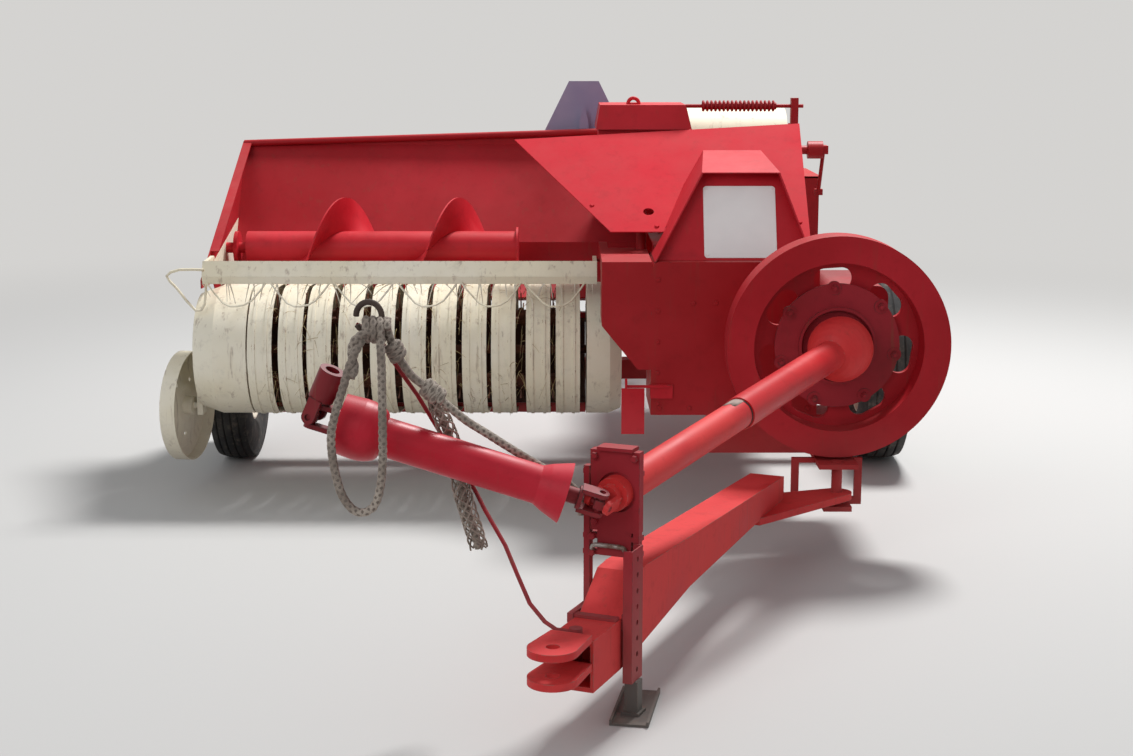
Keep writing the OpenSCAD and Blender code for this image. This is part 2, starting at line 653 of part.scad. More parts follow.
// Twine box on the side of the case, open at the top under its lid
twine_y = 960;
twine_z = 560;
twine_x = rail_x1;
module twine_box() color(dark_red) place() difference() {
    block([twine_x, twine_x + twine_w], [twine_y, twine_y + twine_len], [twine_z, twine_z + twine_h]);
    for (i = [0, 1]) let (half = (twine_len - 3 * twine_wall) / 2)
        block([twine_x + twine_wall, twine_x + twine_w - twine_wall],
            [twine_y + twine_wall + i * (half + twine_wall), twine_y + twine_wall + i * (half + twine_wall) + half],
            [twine_z + twine_wall, twine_z + twine_h + 1]);
}

// Lid of the twine box, hinged along the case
lid_gap = 6;
lid_t = 3;
hinge_d = 14;
module twine_lid() color(dark_red) place() {
    block([twine_x + hinge_d / 2, twine_x + twine_w + 8], [twine_y - 6, twine_y + twine_len + 6],
        [twine_z + twine_h + lid_gap, twine_z + twine_h + lid_gap + lid_t]);
    block([twine_x + twine_w + 5, twine_x + twine_w + 8], [twine_y - 6, twine_y + twine_len + 6],
        [twine_z + twine_h - 14, twine_z + twine_h + lid_gap + 1]);
    translate([twine_x + hinge_d / 2, twine_y, twine_z + twine_h + lid_gap + lid_t / 2]) rotate([-90, 0, 0])
        cylinder(d = hinge_d, h = twine_len, $fn = 32);
}

// Tension rails behind the case, with the two cranks and their springs
module tension_rails() color(red) place() {
    for (s = [-1, 1]) {
        block([case_x + s * 130 - 28, case_x + s * 130 + 28], [case_rear + 2, rails_rear],
            [case_top - case_wall - 6, case_top + 28]);
        block([case_x + s * 130 - 28, case_x + s * 130 + 28], [case_rear + 2, rails_rear],
            [case_low - 34, case_z - 2]);
    }
    block([rail_x0, rail_x1], [rails_rear - 90, rails_rear - 40], [case_top + 28, case_top + 76]);
    block([rail_x0, rail_x1], [rails_rear - 90, rails_rear - 40], [case_low - 82, case_low - 34]);
    for (x = [rail_x0 + 16, rail_x1 - 16]) {
        rod([x, rails_rear - 65, case_top], [x, rails_rear - 65, case_top + 200], 22);
        rod([x, rails_rear - 65, case_top + 76], [x, rails_rear - 65, case_top + 170], 46);
        rod([x, rails_rear - 65, case_top + 195], [x, rails_rear + 35, case_top + 195], 16);
        rod([x, rails_rear + 30, case_top + 190], [x, rails_rear + 30, case_top + 270], 20);
    }
}

// Bale chute: a shallow tray that drops away behind the rails
module bale_chute() color(red) place() difference() {
    side_plate(case_in0, case_in1) polygon([[rails_rear, case_z], [rails_rear, case_low], [rear_y - 30, case_low - 50],
        [rear_y, case_low - 60], [rear_y, case_low - 30], [rear_y - 30, case_z - 20]]);
    side_plate(case_in0 + 4, case_in1 - 4) polygon([[rails_rear - 1, case_z + 1], [rails_rear - 1, case_low + 4],
        [rear_y - 30, case_low - 46], [rear_y + 1, case_low - 56], [rear_y + 1, case_low - 20], [rear_y - 30, case_z - 10]]);
}

// Star wheel on top of the case that measures the bale
meter_d = 330;
meter_y = 820;
meter_z = case_top + 125;
meter_pin_d = 25;
module metering_wheel() color(red) place() difference() {
    union() {
        side_plate(case_x - 5, case_x + 5) translate([meter_y, meter_z]) {
            circle(d = meter_d - 50, $fn = 64);
            for (a = [0 : 30 : 330]) rotate(a) translate([meter_d / 2 - 40, -11]) polygon([[0, 0], [0, 22], [40, 11]]);
        }
        drum(case_x - 26, case_x + 26, meter_y, meter_z, 60);
    }
    drum(case_x - 40, case_x + 40, meter_y, meter_z, meter_pin_d + 2 * fit);
}

// Warning triangle with cut corners on its post at the platform's back, bare on both sides
sign_x = 70;
sign_y = 290;
sign_top = 1479;
sign_shoulder = sign_top - 306;
sign_foot = sign_top - 350;
// the post starts below the platform's lip or the sign's arm, whichever is lower
post_foot = min(lip_z - 80, sign_shoulder - 20);
post_neck = sign_shoulder + 147;
post_tip = sign_shoulder + 199;
module rear_sign() color([0.55, 0.53, 0.66]) place() {
    front_plate(sign_y, sign_y + 3) polygon([[sign_x - 60, sign_top], [sign_x + 60, sign_top], [sign_x + 212, sign_shoulder],
        [sign_x + 188, sign_foot], [sign_x - 188, sign_foot], [sign_x - 212, sign_shoulder]]);
    block([sign_x - 18, sign_x + 18], [plat_back + plat_wall, sign_y], [sign_shoulder, sign_shoulder + 6]);
    front_plate(plat_back + plat_wall + 1.3, plat_back + plat_wall + 7) polygon([[sign_x - 26, post_foot], [sign_x + 26, post_foot],
        [sign_x + 18, post_neck], [sign_x + 4, post_tip], [sign_x - 4, post_tip], [sign_x - 18, post_neck]]);
}

// Small red tag on its arm at the front box
module tag_plate() color(red) place() {
    block([box_left - 2, box_left + 74], [box_front - 6, box_front], [442, 490]);
    block([202, box_left + 66], [box_front - 12, box_front - 4], [480, 489]);
    block([198, 206], [box_front - 17, box_front - 4], [470, 512]);
    block([186, 264], [box_front - 20, box_front - 16], [322, 480]);
}

// Bracket under the front box that carries the tongue's swing pin, with its open hoop
hoop_y = -1365;
hoop_x = [728, 956];
hoop_gap = 10.5; // running clearance below the flywheel
hoop_z = [180, fly_z - fly_d / 2 - hoop_gap];
hoop_bar = 24;
module swing_bracket() color(dark_red) place() {
    // arm from the front box out to the pin
    block([fly_x - 62, fly_x + 62], [swing[1] - 40, -880], [hoop_z[1] - 16, hoop_z[1]]);
    block([box_left + 200, fly_x + 62], [-1040, -880], [hoop_z[1] - 60, box_low]);
    // hoop
    for (x = [hoop_x[0], hoop_x[1] - hoop_bar])
        block([x, x + hoop_bar], [hoop_y - 8, hoop_y + 8], [hoop_z[0] - 2, hoop_z[1]]);
    block(hoop_x, [hoop_y - 8, hoop_y + 8], [hoop_z[0] - hoop_bar, hoop_z[0]]);
    block(hoop_x, [hoop_y - 8, hoop_y + 8], [hoop_z[1] - 16, hoop_z[1]]);
    // lower lug below the tongue's plate
    block([fly_x - 45, fly_x + 45], [swing[1] - 40, hoop_y], [hoop_z[0] - hoop_bar, hoop_z[0] - 8]);
    translate([swing[0], swing[1], hoop_z[0] - hoop_bar - 6]) cylinder(d = swing_pin_d, h = hoop_z[1] - hoop_z[0] + hoop_bar + 10, $fn = 48);
}

// Road tyres: an outline turned about the wheel's axle
module tyre(x, d, w) color(black) place() translate([x, 0, d / 2]) rotate([0, 90, 0]) rotate_extrude($fn = 96)
    tyre_outline(d / 2, w);
module tyre_outline(r, w) {
    bead = rim_d / 2;
    shoulder = 24;
    polygon(concat([[bead, -w * 0.36], [bead + 34, -w * 0.47], [bead + (r - bead) * 0.55, -w / 2]],
        [for (a = [-90 : 30 : 0]) [r - shoulder + shoulder * cos(a), -w / 2 + shoulder + 4 + shoulder * sin(a)]],
        [for (a = [0 : 30 : 90]) [r - shoulder + shoulder * cos(a), w / 2 - shoulder - 4 + shoulder * sin(a)]],
        [[bead + (r - bead) * 0.55, w / 2], [bead + 34, w * 0.47], [bead, w * 0.36]]));
}
module tyre_left() tyre(left_x, left_d, left_w);
module tyre_right() tyre(right_x, right_d, right_w);

// Steel wheels: a rim with its wells, a dished disc and the hub on its spindle
module wheel_rim(x, z, w, s) color(cream) place() translate([x, 0, z]) rotate([0, 90 * s, 0]) difference() {
    rotate_extrude($fn = 96) polygon([[rim_d / 2 - seat, -w * 0.36], [rim_d / 2 - seat, w * 0.36],
        [rim_d / 2 - 6, w * 0.36], [rim_d / 2 - 22, w * 0.2], [rim_d / 2 - 22, 10], [rim_d / 2 - 60, 24],
        [90, 30], [46, 30], [46, 54], [spindle_d / 2 + fit, 54], [spindle_d / 2 + fit, -42], [46, -42], [46, 22],
        [90, 22], [rim_d / 2 - 62, 16], [rim_d / 2 - 28, 0], [rim_d / 2 - 28, -w * 0.2], [rim_d / 2 - 6, -w * 0.36]]);
    for (a = [0 : 60 : 300]) rotate(a) translate([70, 0, 0]) cylinder(d = 14, h = 80, $fn = 24);
}
module rim_left() wheel_rim(left_x, left_d / 2, left_w, 1);
module rim_right() wheel_rim(right_x, right_d / 2, right_w, -1);

// Flywheel: a heavy rim, a recessed web with kidney openings, and its hub shaft
web_t = 22;
web_slot_r = 36;
web_slot_turn = 7;
web_slot_at = clutch_d / 2 + 13;
bolt_turn = 94;
module flywheel() color(red) place() translate([fly_x, fly_front + fly_w, fly_z]) rotate([90, 0, 0]) {
    difference() {
        union() {
            cylinder(d = fly_d, h = fly_w, $fn = 128);
        }
        translate([0, 0, 20 + web_t]) cylinder(d1 = fly_d - 2 * fly_rim - 16, d2 = fly_d - 2 * fly_rim, h = fly_w, $fn = 128);
        translate([0, 0, -1]) cylinder(d = fly_d - 2 * fly_rim, h = 21, $fn = 128);
        for (i = [0 : clutch_bolts - 1]) rotate(bolt_turn + i * 360 / clutch_bolts) hull() for (s = [-1, 1])
            rotate(web_slot_turn * s) translate([web_slot_at, 0, -1])
                cylinder(r = web_slot_r, h = 80, $fn = 32);
    }
    translate([0, 0, -108]) cylinder(d = shaft_d, h = 129, $fn = 64);
    translate([0, 0, -12]) cylinder(d = 120, h = 33, $fn = 64);
}

// Slip clutch: lobed plates bolted through to the flywheel's web, with the guard ring round the ball
clutch_bolts = 7;
module slip_clutch() color(dark_red) place() translate([fly_x, fly_front + fly_w - 20 - web_t, fly_z]) rotate([90, 0, 0]) {
    ring_r = bell_d / 2 + 20;
    rotate_extrude($fn = 96) polygon([[0, seat], [clutch_d / 2 - 12, seat], [clutch_d / 2 - 12, 14], [clutch_d / 2, 14],
        [clutch_d / 2, 24], [ring_r, 24], [ring_r, 36], [ring_r - 9, 36], [ring_r - 17, 10], [0, 10]]);
    for (i = [0 : clutch_bolts - 1]) rotate(bolt_turn + i * 360 / clutch_bolts) translate([clutch_pcd / 2, 0, 0]) {
        translate([0, 0, 12]) cylinder(d = 44, h = 14, $fn = 32);
        translate([0, 0, 25]) cylinder(d = 22, h = 10, $fn = 6);
        translate([0, 0, 30]) cylinder(d = 12, h = 12, $fn = 24);
    }
}

// Tongue beam: a tapered box from the nose to the flat swing plate under the flywheel
strap_at = 250;
module tongue_beam() color(red) place() difference() {
    union() {
        on_tongue() rotate([90, 0, 0]) translate([0, 0, -beam_w / 2]) linear_extrude(beam_w) polygon([
            [0, beam_low + 2], [0, nose_top], [180, nose_top], [300, beam_top - 4], [360, beam_top],
            [beam_len, beam_top_rear], [beam_len, beam_low_rear], [beam_len - 250, beam_low_rear - 8], [700, 186], [180, beam_low + 2]]);
        translate([0, 0, deck_low]) linear_extrude(deck_t) hull() {
            translate(swing) circle(d = 98, $fn = 48);
            translate(tail - along * 250) rotate(beam_yaw) square([20, beam_w], center = true);
            translate(tail) rotate(beam_yaw) square([4, beam_w], center = true);
        }
        translate([0, 0, deck_low + deck_t]) on_tongue() translate([beam_len - 240, -beam_w / 2, -1])
            cube([238, beam_w, beam_low_rear - deck_low - deck_t + 2]);
    }
    translate([swing[0], swing[1], 0]) cylinder(d = swing_pin_d + 2 * fit, h = 500, $fn = 48);
    // the open nose
    on_tongue() translate([-1, -beam_w / 2 + 8, beam_low + 14]) cube([180, beam_w - 16, hitch_top - beam_low - 44]);
}

// Hitch clevis: two plates with a round end about the hitch pin
module hitch_clevis() color(red) place() difference() {
    for (z = [hitch_low, hitch_top - hitch_plate]) translate([0, 0, z]) linear_extrude(hitch_plate) hull() {
        translate(hitch_pin) circle(hitch_tip, $fn = 64);
        translate(nose - along * 5.3) rotate(beam_yaw) square([10, beam_w - 6], center = true);
    }
    translate([hitch_pin[0], hitch_pin[1], 0]) cylinder(r = hitch_r, h = 400, $fn = 64);
}

// Stand that carries the drive shaft above the tongue
stand_hole = 100;
leg_at = 252;
head_t = 28;
module drive_stand() color(dark_red) place() {
    difference() {
        stand_parts();
        rod(stand_at - shaft_dir * 200, stand_at + shaft_dir * 200, stand_hole, 48);
    }
    // bearing ring round the front drive tube
    turned(stand_at, shaft_dir) polygon([[tube_front_d / 2 + seat, -19], [stand_hole / 2 + 1, -19], [stand_hole / 2 + 1, -7],
        [tube_front_d / 2 + seat, -7]]);
}
module stand_parts() {
    on_tongue() {
        for (y = [beam_w / 2 + 2, -beam_w / 2 - 18]) translate([leg_at, y, 236]) cube([22, 16, stand_z - 236 + 60]);
        translate([146, beam_w / 2 + 2, 238]) cube([leg_at - 130, 16, 24]);
        translate([150, -beam_w / 2 + 2, nose_top + seat]) cube([22, beam_w + 14, 8]);
        // the block that the jack's channel slides on
        translate([jack_along - jack_w / 2 + 8, -jack_out + 6, 222]) cube([jack_w - 16, jack_out - 6 - beam_w / 2 - seat, 40]);
    }
    stand_frame() translate([-1, -60, stand_z - 100]) cube([head_t, 128, 203]);
    for (z = [-163, -122]) stand_frame() translate([-1, -60, stand_z + z]) cube([35, 148, 12]);
    stand_frame() translate([-1, -40, stand_z - 160]) cube([head_t, 90, 70]);
    stand_frame() translate([0, -60, stand_z + 40]) cube([34, 148, 12]);
    stand_frame() translate([-11, -44, stand_z + 103]) cube([48, 92, 9]);
}
module stand_frame() translate([stand_at[0], stand_at[1], 0]) rotate([0, 0, beam_yaw]) children();

// Front drive tube, from its yoke at the stand to inside the rear tube
front_reach = 980;
module drive_tube_front() color(red) place() {
    rod(stand_at - shaft_dir * front_reach, stand_at + shaft_dir * 24, tube_front_d, 64);
    translate(joint_at) turn_pin(-shaft_dir, tube_pin) {
        yoke_ears();
        translate([0, 0, ear_len - 2]) cylinder(d = 56, h = 20, $fn = 48);
    }
}

// Rear drive tube with the ball shield over the flywheel joint
bell_open = 70; // half angle of the ball's opening at its far side
module drive_tube_rear() color(red) place() turned(bell_at, shaft_dir) polygon(concat(
    [for (a = [180 - bell_open : -12 : 36]) bell_d / 2 * [sin(a), cos(a)]],
    [[tube_rear_d / 2, bell_d / 2 * cos(30)], [tube_rear_d / 2, rear_len], [tube_front_d / 2 + seat, rear_len],
    [tube_front_d / 2 + seat, bell_d / 2 * cos(30) - 6]],
    [for (a = [36 : 12 : 180 - bell_open]) (bell_d / 2 - 4) * [sin(a), cos(a)]]));
// an outline turned about a line from a point along unit v
module turned(at, v, fn = 96) translate(at) rotate([0, acos(v[2]), atan2(v[1], v[0])]) rotate_extrude($fn = fn) children();

// Tractor half shaft: its shield tube with the flared ends, and the yoke for the tractor
half_len = norm(half_end - joint_at);
flare_r = 75;
module half_shaft() color(red) place() turned(joint_at, half_dir) polygon(concat([[0, 152], [half_d / 2 - 4, 152], [50, 128],
    [flare_r - 4, 84], [flare_r, 84], [flare_r - 17, 132], [half_d / 2, 154], [half_d / 2, half_len - 112]],
    [for (a = [15 : 15 : 90]) [half_d / 2 + (flare_r - half_d / 2) * sin(a), half_len - 52 - 60 * cos(a)]],
    [[flare_r - 3, half_len], [flare_r - 7, half_len], [flare_r - 7, half_len - 50], [31, half_len - 66],
    [31, half_len + yoke_off - ear_len - seat], [0, half_len + yoke_off - ear_len - seat]]));

// Yoke at the half shaft's free end, for the tractor's splined shaft
yoke_off = 62;
ear_len = 54;
yoke_at = joint_at + (half_len + yoke_off) * half_dir;
yoke_dir = [0.4, -0.15, 0.9] / norm([0.4, -0.15, 0.9]);
yoke_reach = 124;
module tractor_yoke() color(dark_red) place() {
    translate(yoke_at) turn_to(-half_dir) {
        yoke_ears();
        cross_pin(pin_hole + 1, 26);
        cube(24, center = true);
    }
    translate(yoke_at) turn_to(yoke_dir) rotate([0, 0, 90]) difference() {
        union() {
            yoke_ears();
            cross_pin(pin_hole + 0.5, 26);
            translate([0, 0, ear_len - 8]) cylinder(d = 62, h = yoke_reach - ear_len + 8, $fn = 64);
        }
        translate([0, 0, yoke_reach - pto_len]) cylinder(r = pto_r, h = pto_len + 1, $fn = 64);
    }
}
module turn_to(v) rotate([0, acos(v[2]), atan2(v[1], v[0])]) children();
// Z along v and X along p, which is square to v
module turn_pin(v, p) {
    q = cross(v, p);
    multmatrix([[p[0], q[0], v[0], 0], [p[1], q[1], v[1], 0], [p[2], q[2], v[2], 0], [0, 0, 0, 1]]) children();
}
// the joint bends about the half shaft's pin, and the other pin is square to it
bend_pin = unit(cross(half_dir, shaft_dir));
tube_pin = unit(cross(shaft_dir, bend_pin));
joint_play = 0.35;
// two ears with their pin holes, and the hub behind them
pin_hole = 8;
module yoke_ears() {
    for (s = [-1, 1]) difference() {
        union() {
            translate([s * 26 - 6, -17, 0]) cube([12, 34, ear_len - 5]);
            translate([s * 26 - 6, 0, 0]) rotate([0, 90, 0]) cylinder(r = 17, h = 12, $fn = 48);
        }
        translate([s * 26 - 20, 0, 0]) rotate([0, 90, 0]) cylinder(r = pin_hole, h = 40, $fn = 32);
    }
    translate([0, 0, ear_len - 11]) cylinder(d = 58, h = 11, $fn = 48);
}
module cross_pin(r, reach) rotate([0, 90, 0]) translate([0, 0, -reach]) cylinder(r = r, h = 2 * reach, $fn = 32);

// Universal joint's cross, with the yoke on the half shaft's side
module shaft_joint() color(steel) place() translate(joint_at) {
    turn_pin(half_dir, bend_pin) {
        yoke_ears();
        translate([0, 0, ear_len - 2]) cylinder(d = 40, h = 152 - ear_len + 2 - seat, $fn = 48);
        cross_pin(pin_hole + 1, 26);
        cube(24, center = true);
    }
    turn_pin(-shaft_dir, tube_pin) cross_pin(pin_hole - joint_play, 31);
}

// Bent rod that guides the latch rope, with its pigtail eye
eye_at = [-463, -2850, 996];
guide_pts = [[20, -2966, 262], [-24, -2960, 266], [-51, -2945, 280], [-87, -2920, 317], [-117, -2880, 375],
    [-148, -2830, 435], [-199, -2770, 507], [-221, -2745, 544], [-261, -2735, 611], [-308, -2735, 692],
    [-360, -2760, 790], [-414, -2810, 885], [-444, -2840, 950]];
module rope_guide() color(dark_red) place() {
    cord_tube(concat(guide_pts, [for (a = [-150 : 30 : 180])
        eye_at + [34 * sin(a + 90) * 0.9, -6 + a / 15, -34 * cos(a + 90)]]), 11, 8);
    translate([22, -2966, nose_top + seat]) cylinder(d = 32, h = 20, $fn = 24);
}

// Perforated channel of the jack, which slides on a block at the tongue's side
jack_along = 210;
jack_out = 86;
jack_t = 4;
jack_depth = 24;
module jack_frame() on_tongue() translate([jack_along, 0, 0]) children();
module jack_channel() color(red) place() jack_frame() difference() {
    translate([-jack_w / 2, -jack_out, jack_low]) cube([jack_w, jack_depth, jack_len]);
    translate([-jack_w / 2 + jack_t, -jack_out + jack_t, jack_low - 1]) cube([jack_w - 2 * jack_t, jack_depth, jack_len + 2]);
    for (i = [0 : 7]) translate([0, -jack_out + jack_t + 1, jack_low + 28 + i * 40]) rotate([90, 0, 0])
        cylinder(d = 13, h = jack_t + 2, $fn = 24);
}

// Leg below the channel with its foot plate, which stands askew of the tongue
leg_y = -77;
foot_turn = 13;
foot_w = 96;
module jack_leg() color(black) place() jack_frame() {
    translate([-leg_w / 2, leg_y - leg_w / 2, 5]) cube([leg_w, leg_w, jack_low - seat - 5]);
    translate([-leg_w / 2, -jack_out + jack_t + seat, jack_low - 2]) cube([leg_w, 20, 28]);
    translate([0, leg_y, 0]) rotate([0, 0, foot_turn]) {
        translate([-foot_len / 3, -foot_w / 2, 0]) cube([foot_len, foot_w, 6]);
        for (y = [-foot_w / 2, foot_w / 2 - 6]) translate([-foot_len / 3, y, 0]) cube([foot_len, 6, 14]);
    }
    translate([-leg_w / 2 - 7, leg_y - leg_w / 2 - 7, 5]) cube([leg_w + 14, leg_w + 14, 8]);
}

// Pickup frame: the cross bars behind the bands and the arms down to the lift pins
bar_top = [-260, 600];
bar_low = [-352, 268];
frame_x = [-1140 + 4.3, 72 - 0.3];
module pickup_frame() color(cream) place() {
    for (b = [bar_top, bar_low]) block(frame_x, [b[0] + 2, b[0] + 38], [b[1] - 18, b[1] + 18]);
    for (x = [lug_xs[0] + 18, lug_xs[1] - 20]) side_plate(x, x + 16) {
        hull() {
            translate([lift_y, lift_z]) circle(d = 64, $fn = 32);
            translate([bar_low[0] + 30, bar_low[1] + 10]) square([30, 40], center = true);
        }
        polygon([[lift_y - 30, lift_z + 10], [lift_y + 20, lift_z + 25], [bar_top[0] + 38, bar_top[1] + 16],
            [bar_top[0] + 6, bar_top[1] - 16]]);
    }
    drum(lug_xs[0] - 14, lug_xs[0] + 34, lift_y, lift_z, lift_pin_d);
    drum(lug_xs[1] - 20, lug_xs[1] + 28, lift_y, lift_z, lift_pin_d);
}

// Stripper bands: strips bent round the reel and on behind it to the frame's two bars
band_tail = [[-400, 752], [-372, 722], [-345, 690], [-320, 655], [-290, 625], [bar_top[0] + 2 - seat, bar_top[1] + 6]];
band_foot = [[bar_low[0] + 1.2, bar_low[1]]];
module stripper_bands() color(cream) place() {
    for (x = band_xs) {
        side_plate(x - band_w / 2, x + band_w / 2) band_profile(band_r, band_t, band_tail, band_foot);
        for (s = [-1, 1]) side_plate(x + s * band_w / 4 - 5, x + s * band_w / 4 + 5)
            band_profile(band_r + 3, 4, [band_tail[0] + [0, 3]], [band_foot[0] - [0, 3]]);
    }
}
// side outline of a strip: an arc round the reel's front, with a tail above and below
module band_profile(r, t, tail_pts, foot_pts) {
    intersection() {
        difference() {
            translate([reel_y, reel_z]) circle(r, $fn = 96);
            translate([reel_y, reel_z]) circle(r - t, $fn = 96);
        }
        translate([reel_y - 400, reel_z - 400]) square([400, 800]);
    }
    ribbon(concat([[reel_y - 1, reel_z + r]], tail_pts), t);
    ribbon(concat([[reel_y - 1, reel_z - r]], foot_pts), -t);
}
// a strip of thickness t below a line of points
function below(p, i, t) = let (a = p[max(i - 1, 0)], b = p[min(i + 1, len(p) - 1)], v = (b - a) / norm(b - a))
    p[i] + t * [v[1], -v[0]];
module ribbon(p, t) polygon(concat(p, [for (i = [len(p) - 1 : -1 : 0]) below(p, i, t)]));

// Curved end shields of the pickup, each between two plates that carry the reel's shaft
shield_tail = [[-410, 756]];
shield_foot = [[-385, 275]];
shield_rear = -376; // the outer plates end here, ahead of the tyre
reel_shaft_d = 32;
module pickup_shields() color(cream) place() {
    side_plate(-1250, -1136) band_profile(band_r, band_t, shield_tail, shield_foot);
    side_plate(72, 150) band_profile(band_r, band_t, shield_tail, shield_foot);
    for (x = [-1140, 72]) side_plate(x, x + 4) shield_end([[-400, 752], [-345, 690], [bar_top[0] + 38, bar_top[1] + 18],
        [bar_top[0] + 38, bar_top[1] - 18], [bar_low[0] + 38, bar_low[1] - 18], [bar_low[0] - 20, bar_low[1]]]);
    for (x = [-1254, 150]) side_plate(x, x + 4) shield_end([[-410, 756], [-390, 690], [-380, 500], [-385, 275]], shield_rear);
    flare(-1254, -1, 74, 26);
    flare(154, 1, 42, 18);
}
// end plate of a shield, with the reel shaft's hole
module shield_end(back, rear = 0) difference() {
    union() {
        translate([reel_y, reel_z]) circle(band_r, $fn = 96);
        polygon(concat([[reel_y, reel_z + band_r]], back, [[reel_y, reel_z - band_r]]));
    }
    translate([reel_y, reel_z]) circle(d = reel_shaft_d + 2 * fit, $fn = 48);
    translate([rear, 0]) square(1000);
}
// outer part of a shield, which draws in by drop over its length
module flare(x, s, len, drop) translate([x, reel_y, reel_z]) rotate([0, s * 90, 0]) difference() {
    cylinder(r1 = band_r, r2 = band_r - drop, h = len, $fn = 96);
    translate([0, 0, -1]) cylinder(r1 = band_r - 4, r2 = band_r - 4 - drop, h = len + 2, $fn = 96);
    translate([-400, 60, -1]) cube([800, 400, 100]);
}

// Pickup reel: shaft, spiders, tine bars and spring tines
module pickup_reel() color(dark_red) place() {
    drum(-1262, 162, reel_y, reel_z, reel_shaft_d);
    for (x = [-1110, -540, 40]) drum(x - 4, x + 4, reel_y, reel_z, 360);
    for (b = [0 : tine_bars - 1]) translate([0, reel_y, reel_z]) rotate([b * 360 / tine_bars + 30, 0, 0]) {
        drum(-1120, 50, 168, 0, 26);
        for (x = tine_xs) {
            translate([x, 168, 0]) rotate([0, 90, 0]) cylinder(d = 40, h = 18, center = true, $fn = 16);
            rod([x, 176, 10], [x, 222, 18], tine_d, 8);
            rod([x, 220, 18], [x, tine_r * cos(2) - 1, 6], tine_d, 8);
        }
    }
}

// Arm that holds the gauge wheel at the pickup's end
gauge_pin_d = 25;
module gauge_frame() translate(gauge_at) rotate([0, 0, -gauge_turn]) children();
module gauge_arm() color(cream) place() {
    gauge_frame() rotate([0, 90, 0]) cylinder(d = gauge_pin_d, h = 56, $fn = 32);
    block([-1352, -1332], [-595, -535], [290, 560]);
    block([-1333, -1270], [-610, -545], [500, 552]);
    block([-1271, -1254 - seat], [-610, -580], [480, 560]);
}

// Gauge wheel: a pressed disc with a flanged rim
module gauge_wheel() color(cream) place() gauge_frame() rotate([0, 90, 0]) difference() {
    rotate_extrude($fn = 96) polygon([[gauge_d / 2, -gauge_w / 2], [gauge_d / 2, gauge_w / 2], [gauge_d / 2 - 4, gauge_w / 2],
        [gauge_d / 2 - 4, -gauge_w / 2 + 14], [gauge_d / 2 - 40, -gauge_w / 2 + 4], [60, -8], [34, -8], [34, 26],
        [gauge_pin_d / 2 + fit, 26], [gauge_pin_d / 2 + fit, -24], [34, -24], [34, -13], [60, -13],
        [gauge_d / 2 - 42, -gauge_w / 2 - 1 + 1], [gauge_d / 2 - 6, -gauge_w / 2]]);
    for (a = [0 : 72 : 288]) rotate(a) translate([105, 0, -60]) cylinder(d = 16, h = 100, $fn = 24);
}

// Wind guard: a rail with a sloped face above the pickup, its arms, short rods, front wires and end hoop
guard_x = [-1292, 108];
guard_drop = 60;
arm_t = 14;
module wind_guard() color(cream) place() difference() {
    union() {
        side_plate(guard_x[0], guard_x[1]) polygon([[guard_y - 22, guard_z - 22], [guard_y + 6, guard_z + 30],
            [guard_y + 12, guard_z + 28], [guard_y - 14, guard_z - 20], [guard_y - 6, guard_z - 50], [guard_y - 12, guard_z - 50]]);
        for (x = [guard_x[0], guard_x[1] - arm_t]) side_plate(x, x + arm_t) {
            translate([guard_pin_y, guard_pin_z]) circle(d = 30, $fn = 32);
            polygon([[guard_y, guard_z - 14], [guard_y + 5, guard_z + 26], [guard_pin_y, guard_pin_z + 14], [guard_pin_y, guard_pin_z - 14]]);
        }
        for (i = [0 : 11]) let (x = guard_x[0] + 60 + i * 115)
            cord_tube([[x, guard_y + 2, guard_z + 16], [x, guard_y + 20, guard_z - 20], [x, guard_y + 30, guard_z - guard_drop]], 7, 6);
        for (i = [0 : 5]) let (x = guard_x[0] + 80 + i * 226)
            cord_tube(smooth([[x - 70, guard_y - 8, guard_z - 40], [x, guard_y - 60, guard_z - 112], [x + 50, guard_y - 66, guard_z - 122],
                [x + 100, guard_y - 54, guard_z - 104], [x + 150, guard_y - 8, guard_z - 40]], 2), 7, 6);
        cord_tube(smooth([[guard_x[0] + 6, guard_y - 10, guard_z], [-1370, guard_y - 20, guard_z + 2], [-1415, guard_y - 24, guard_z - 20],
            [-1380, guard_y - 24, guard_z - 64], [-1316, guard_y - 24, guard_z - 144], [-1284, guard_y - 22, guard_z - 120],
            [guard_x[0] + 12, guard_y - 6, guard_z - 34]], 2), 10, 8);
    }
    drum(guard_x[0] - 20, guard_x[0] + 60, guard_pin_y, guard_pin_z, guard_pin_d + 2 * fit);
    drum(guard_x[1] - 60, guard_x[1] + 20, guard_pin_y, guard_pin_z, guard_pin_d + 2 * fit);
}

// Plunger: a frame of plates that slides in the case, with slots for the needles
plunger_front = -880;
module plunger() color(steel) place() {
    difference() {
        block([case_in0 + plunger_gap, case_in1 - plunger_gap], [plunger_front, plunger_front + plunger_len],
            [case_z + plunger_gap, case_z + case_h - plunger_gap]);
        for (s = [-1, 1]) block([case_x + s * needle_gap / 2 - slot_w, case_x + s * needle_gap / 2 + slot_w],
            [plunger_front + plunger_len - 90, plunger_front + plunger_len + 1], [case_z - 1, case_z + case_h + 1]);
        block([case_in0 + plunger_gap + plunger_plate, case_in1 - plunger_gap - plunger_plate],
            [plunger_front - 1, plunger_front + plunger_len - 100],
            [case_z + plunger_gap + plunger_plate, case_z + case_h - plunger_gap - plunger_plate]);
        block([case_in0, case_in1], [plunger_front + 60, plunger_front + 280],
            [case_z + 90, case_z + case_h - 90]);
    }
    // runners under it
    for (x = [case_in0 + 20, case_in1 - 60])
        block([x, x + 40], [plunger_front + 10, plunger_front + plunger_len - 10], [case_z + seat, case_z + plunger_gap + 1]);
}

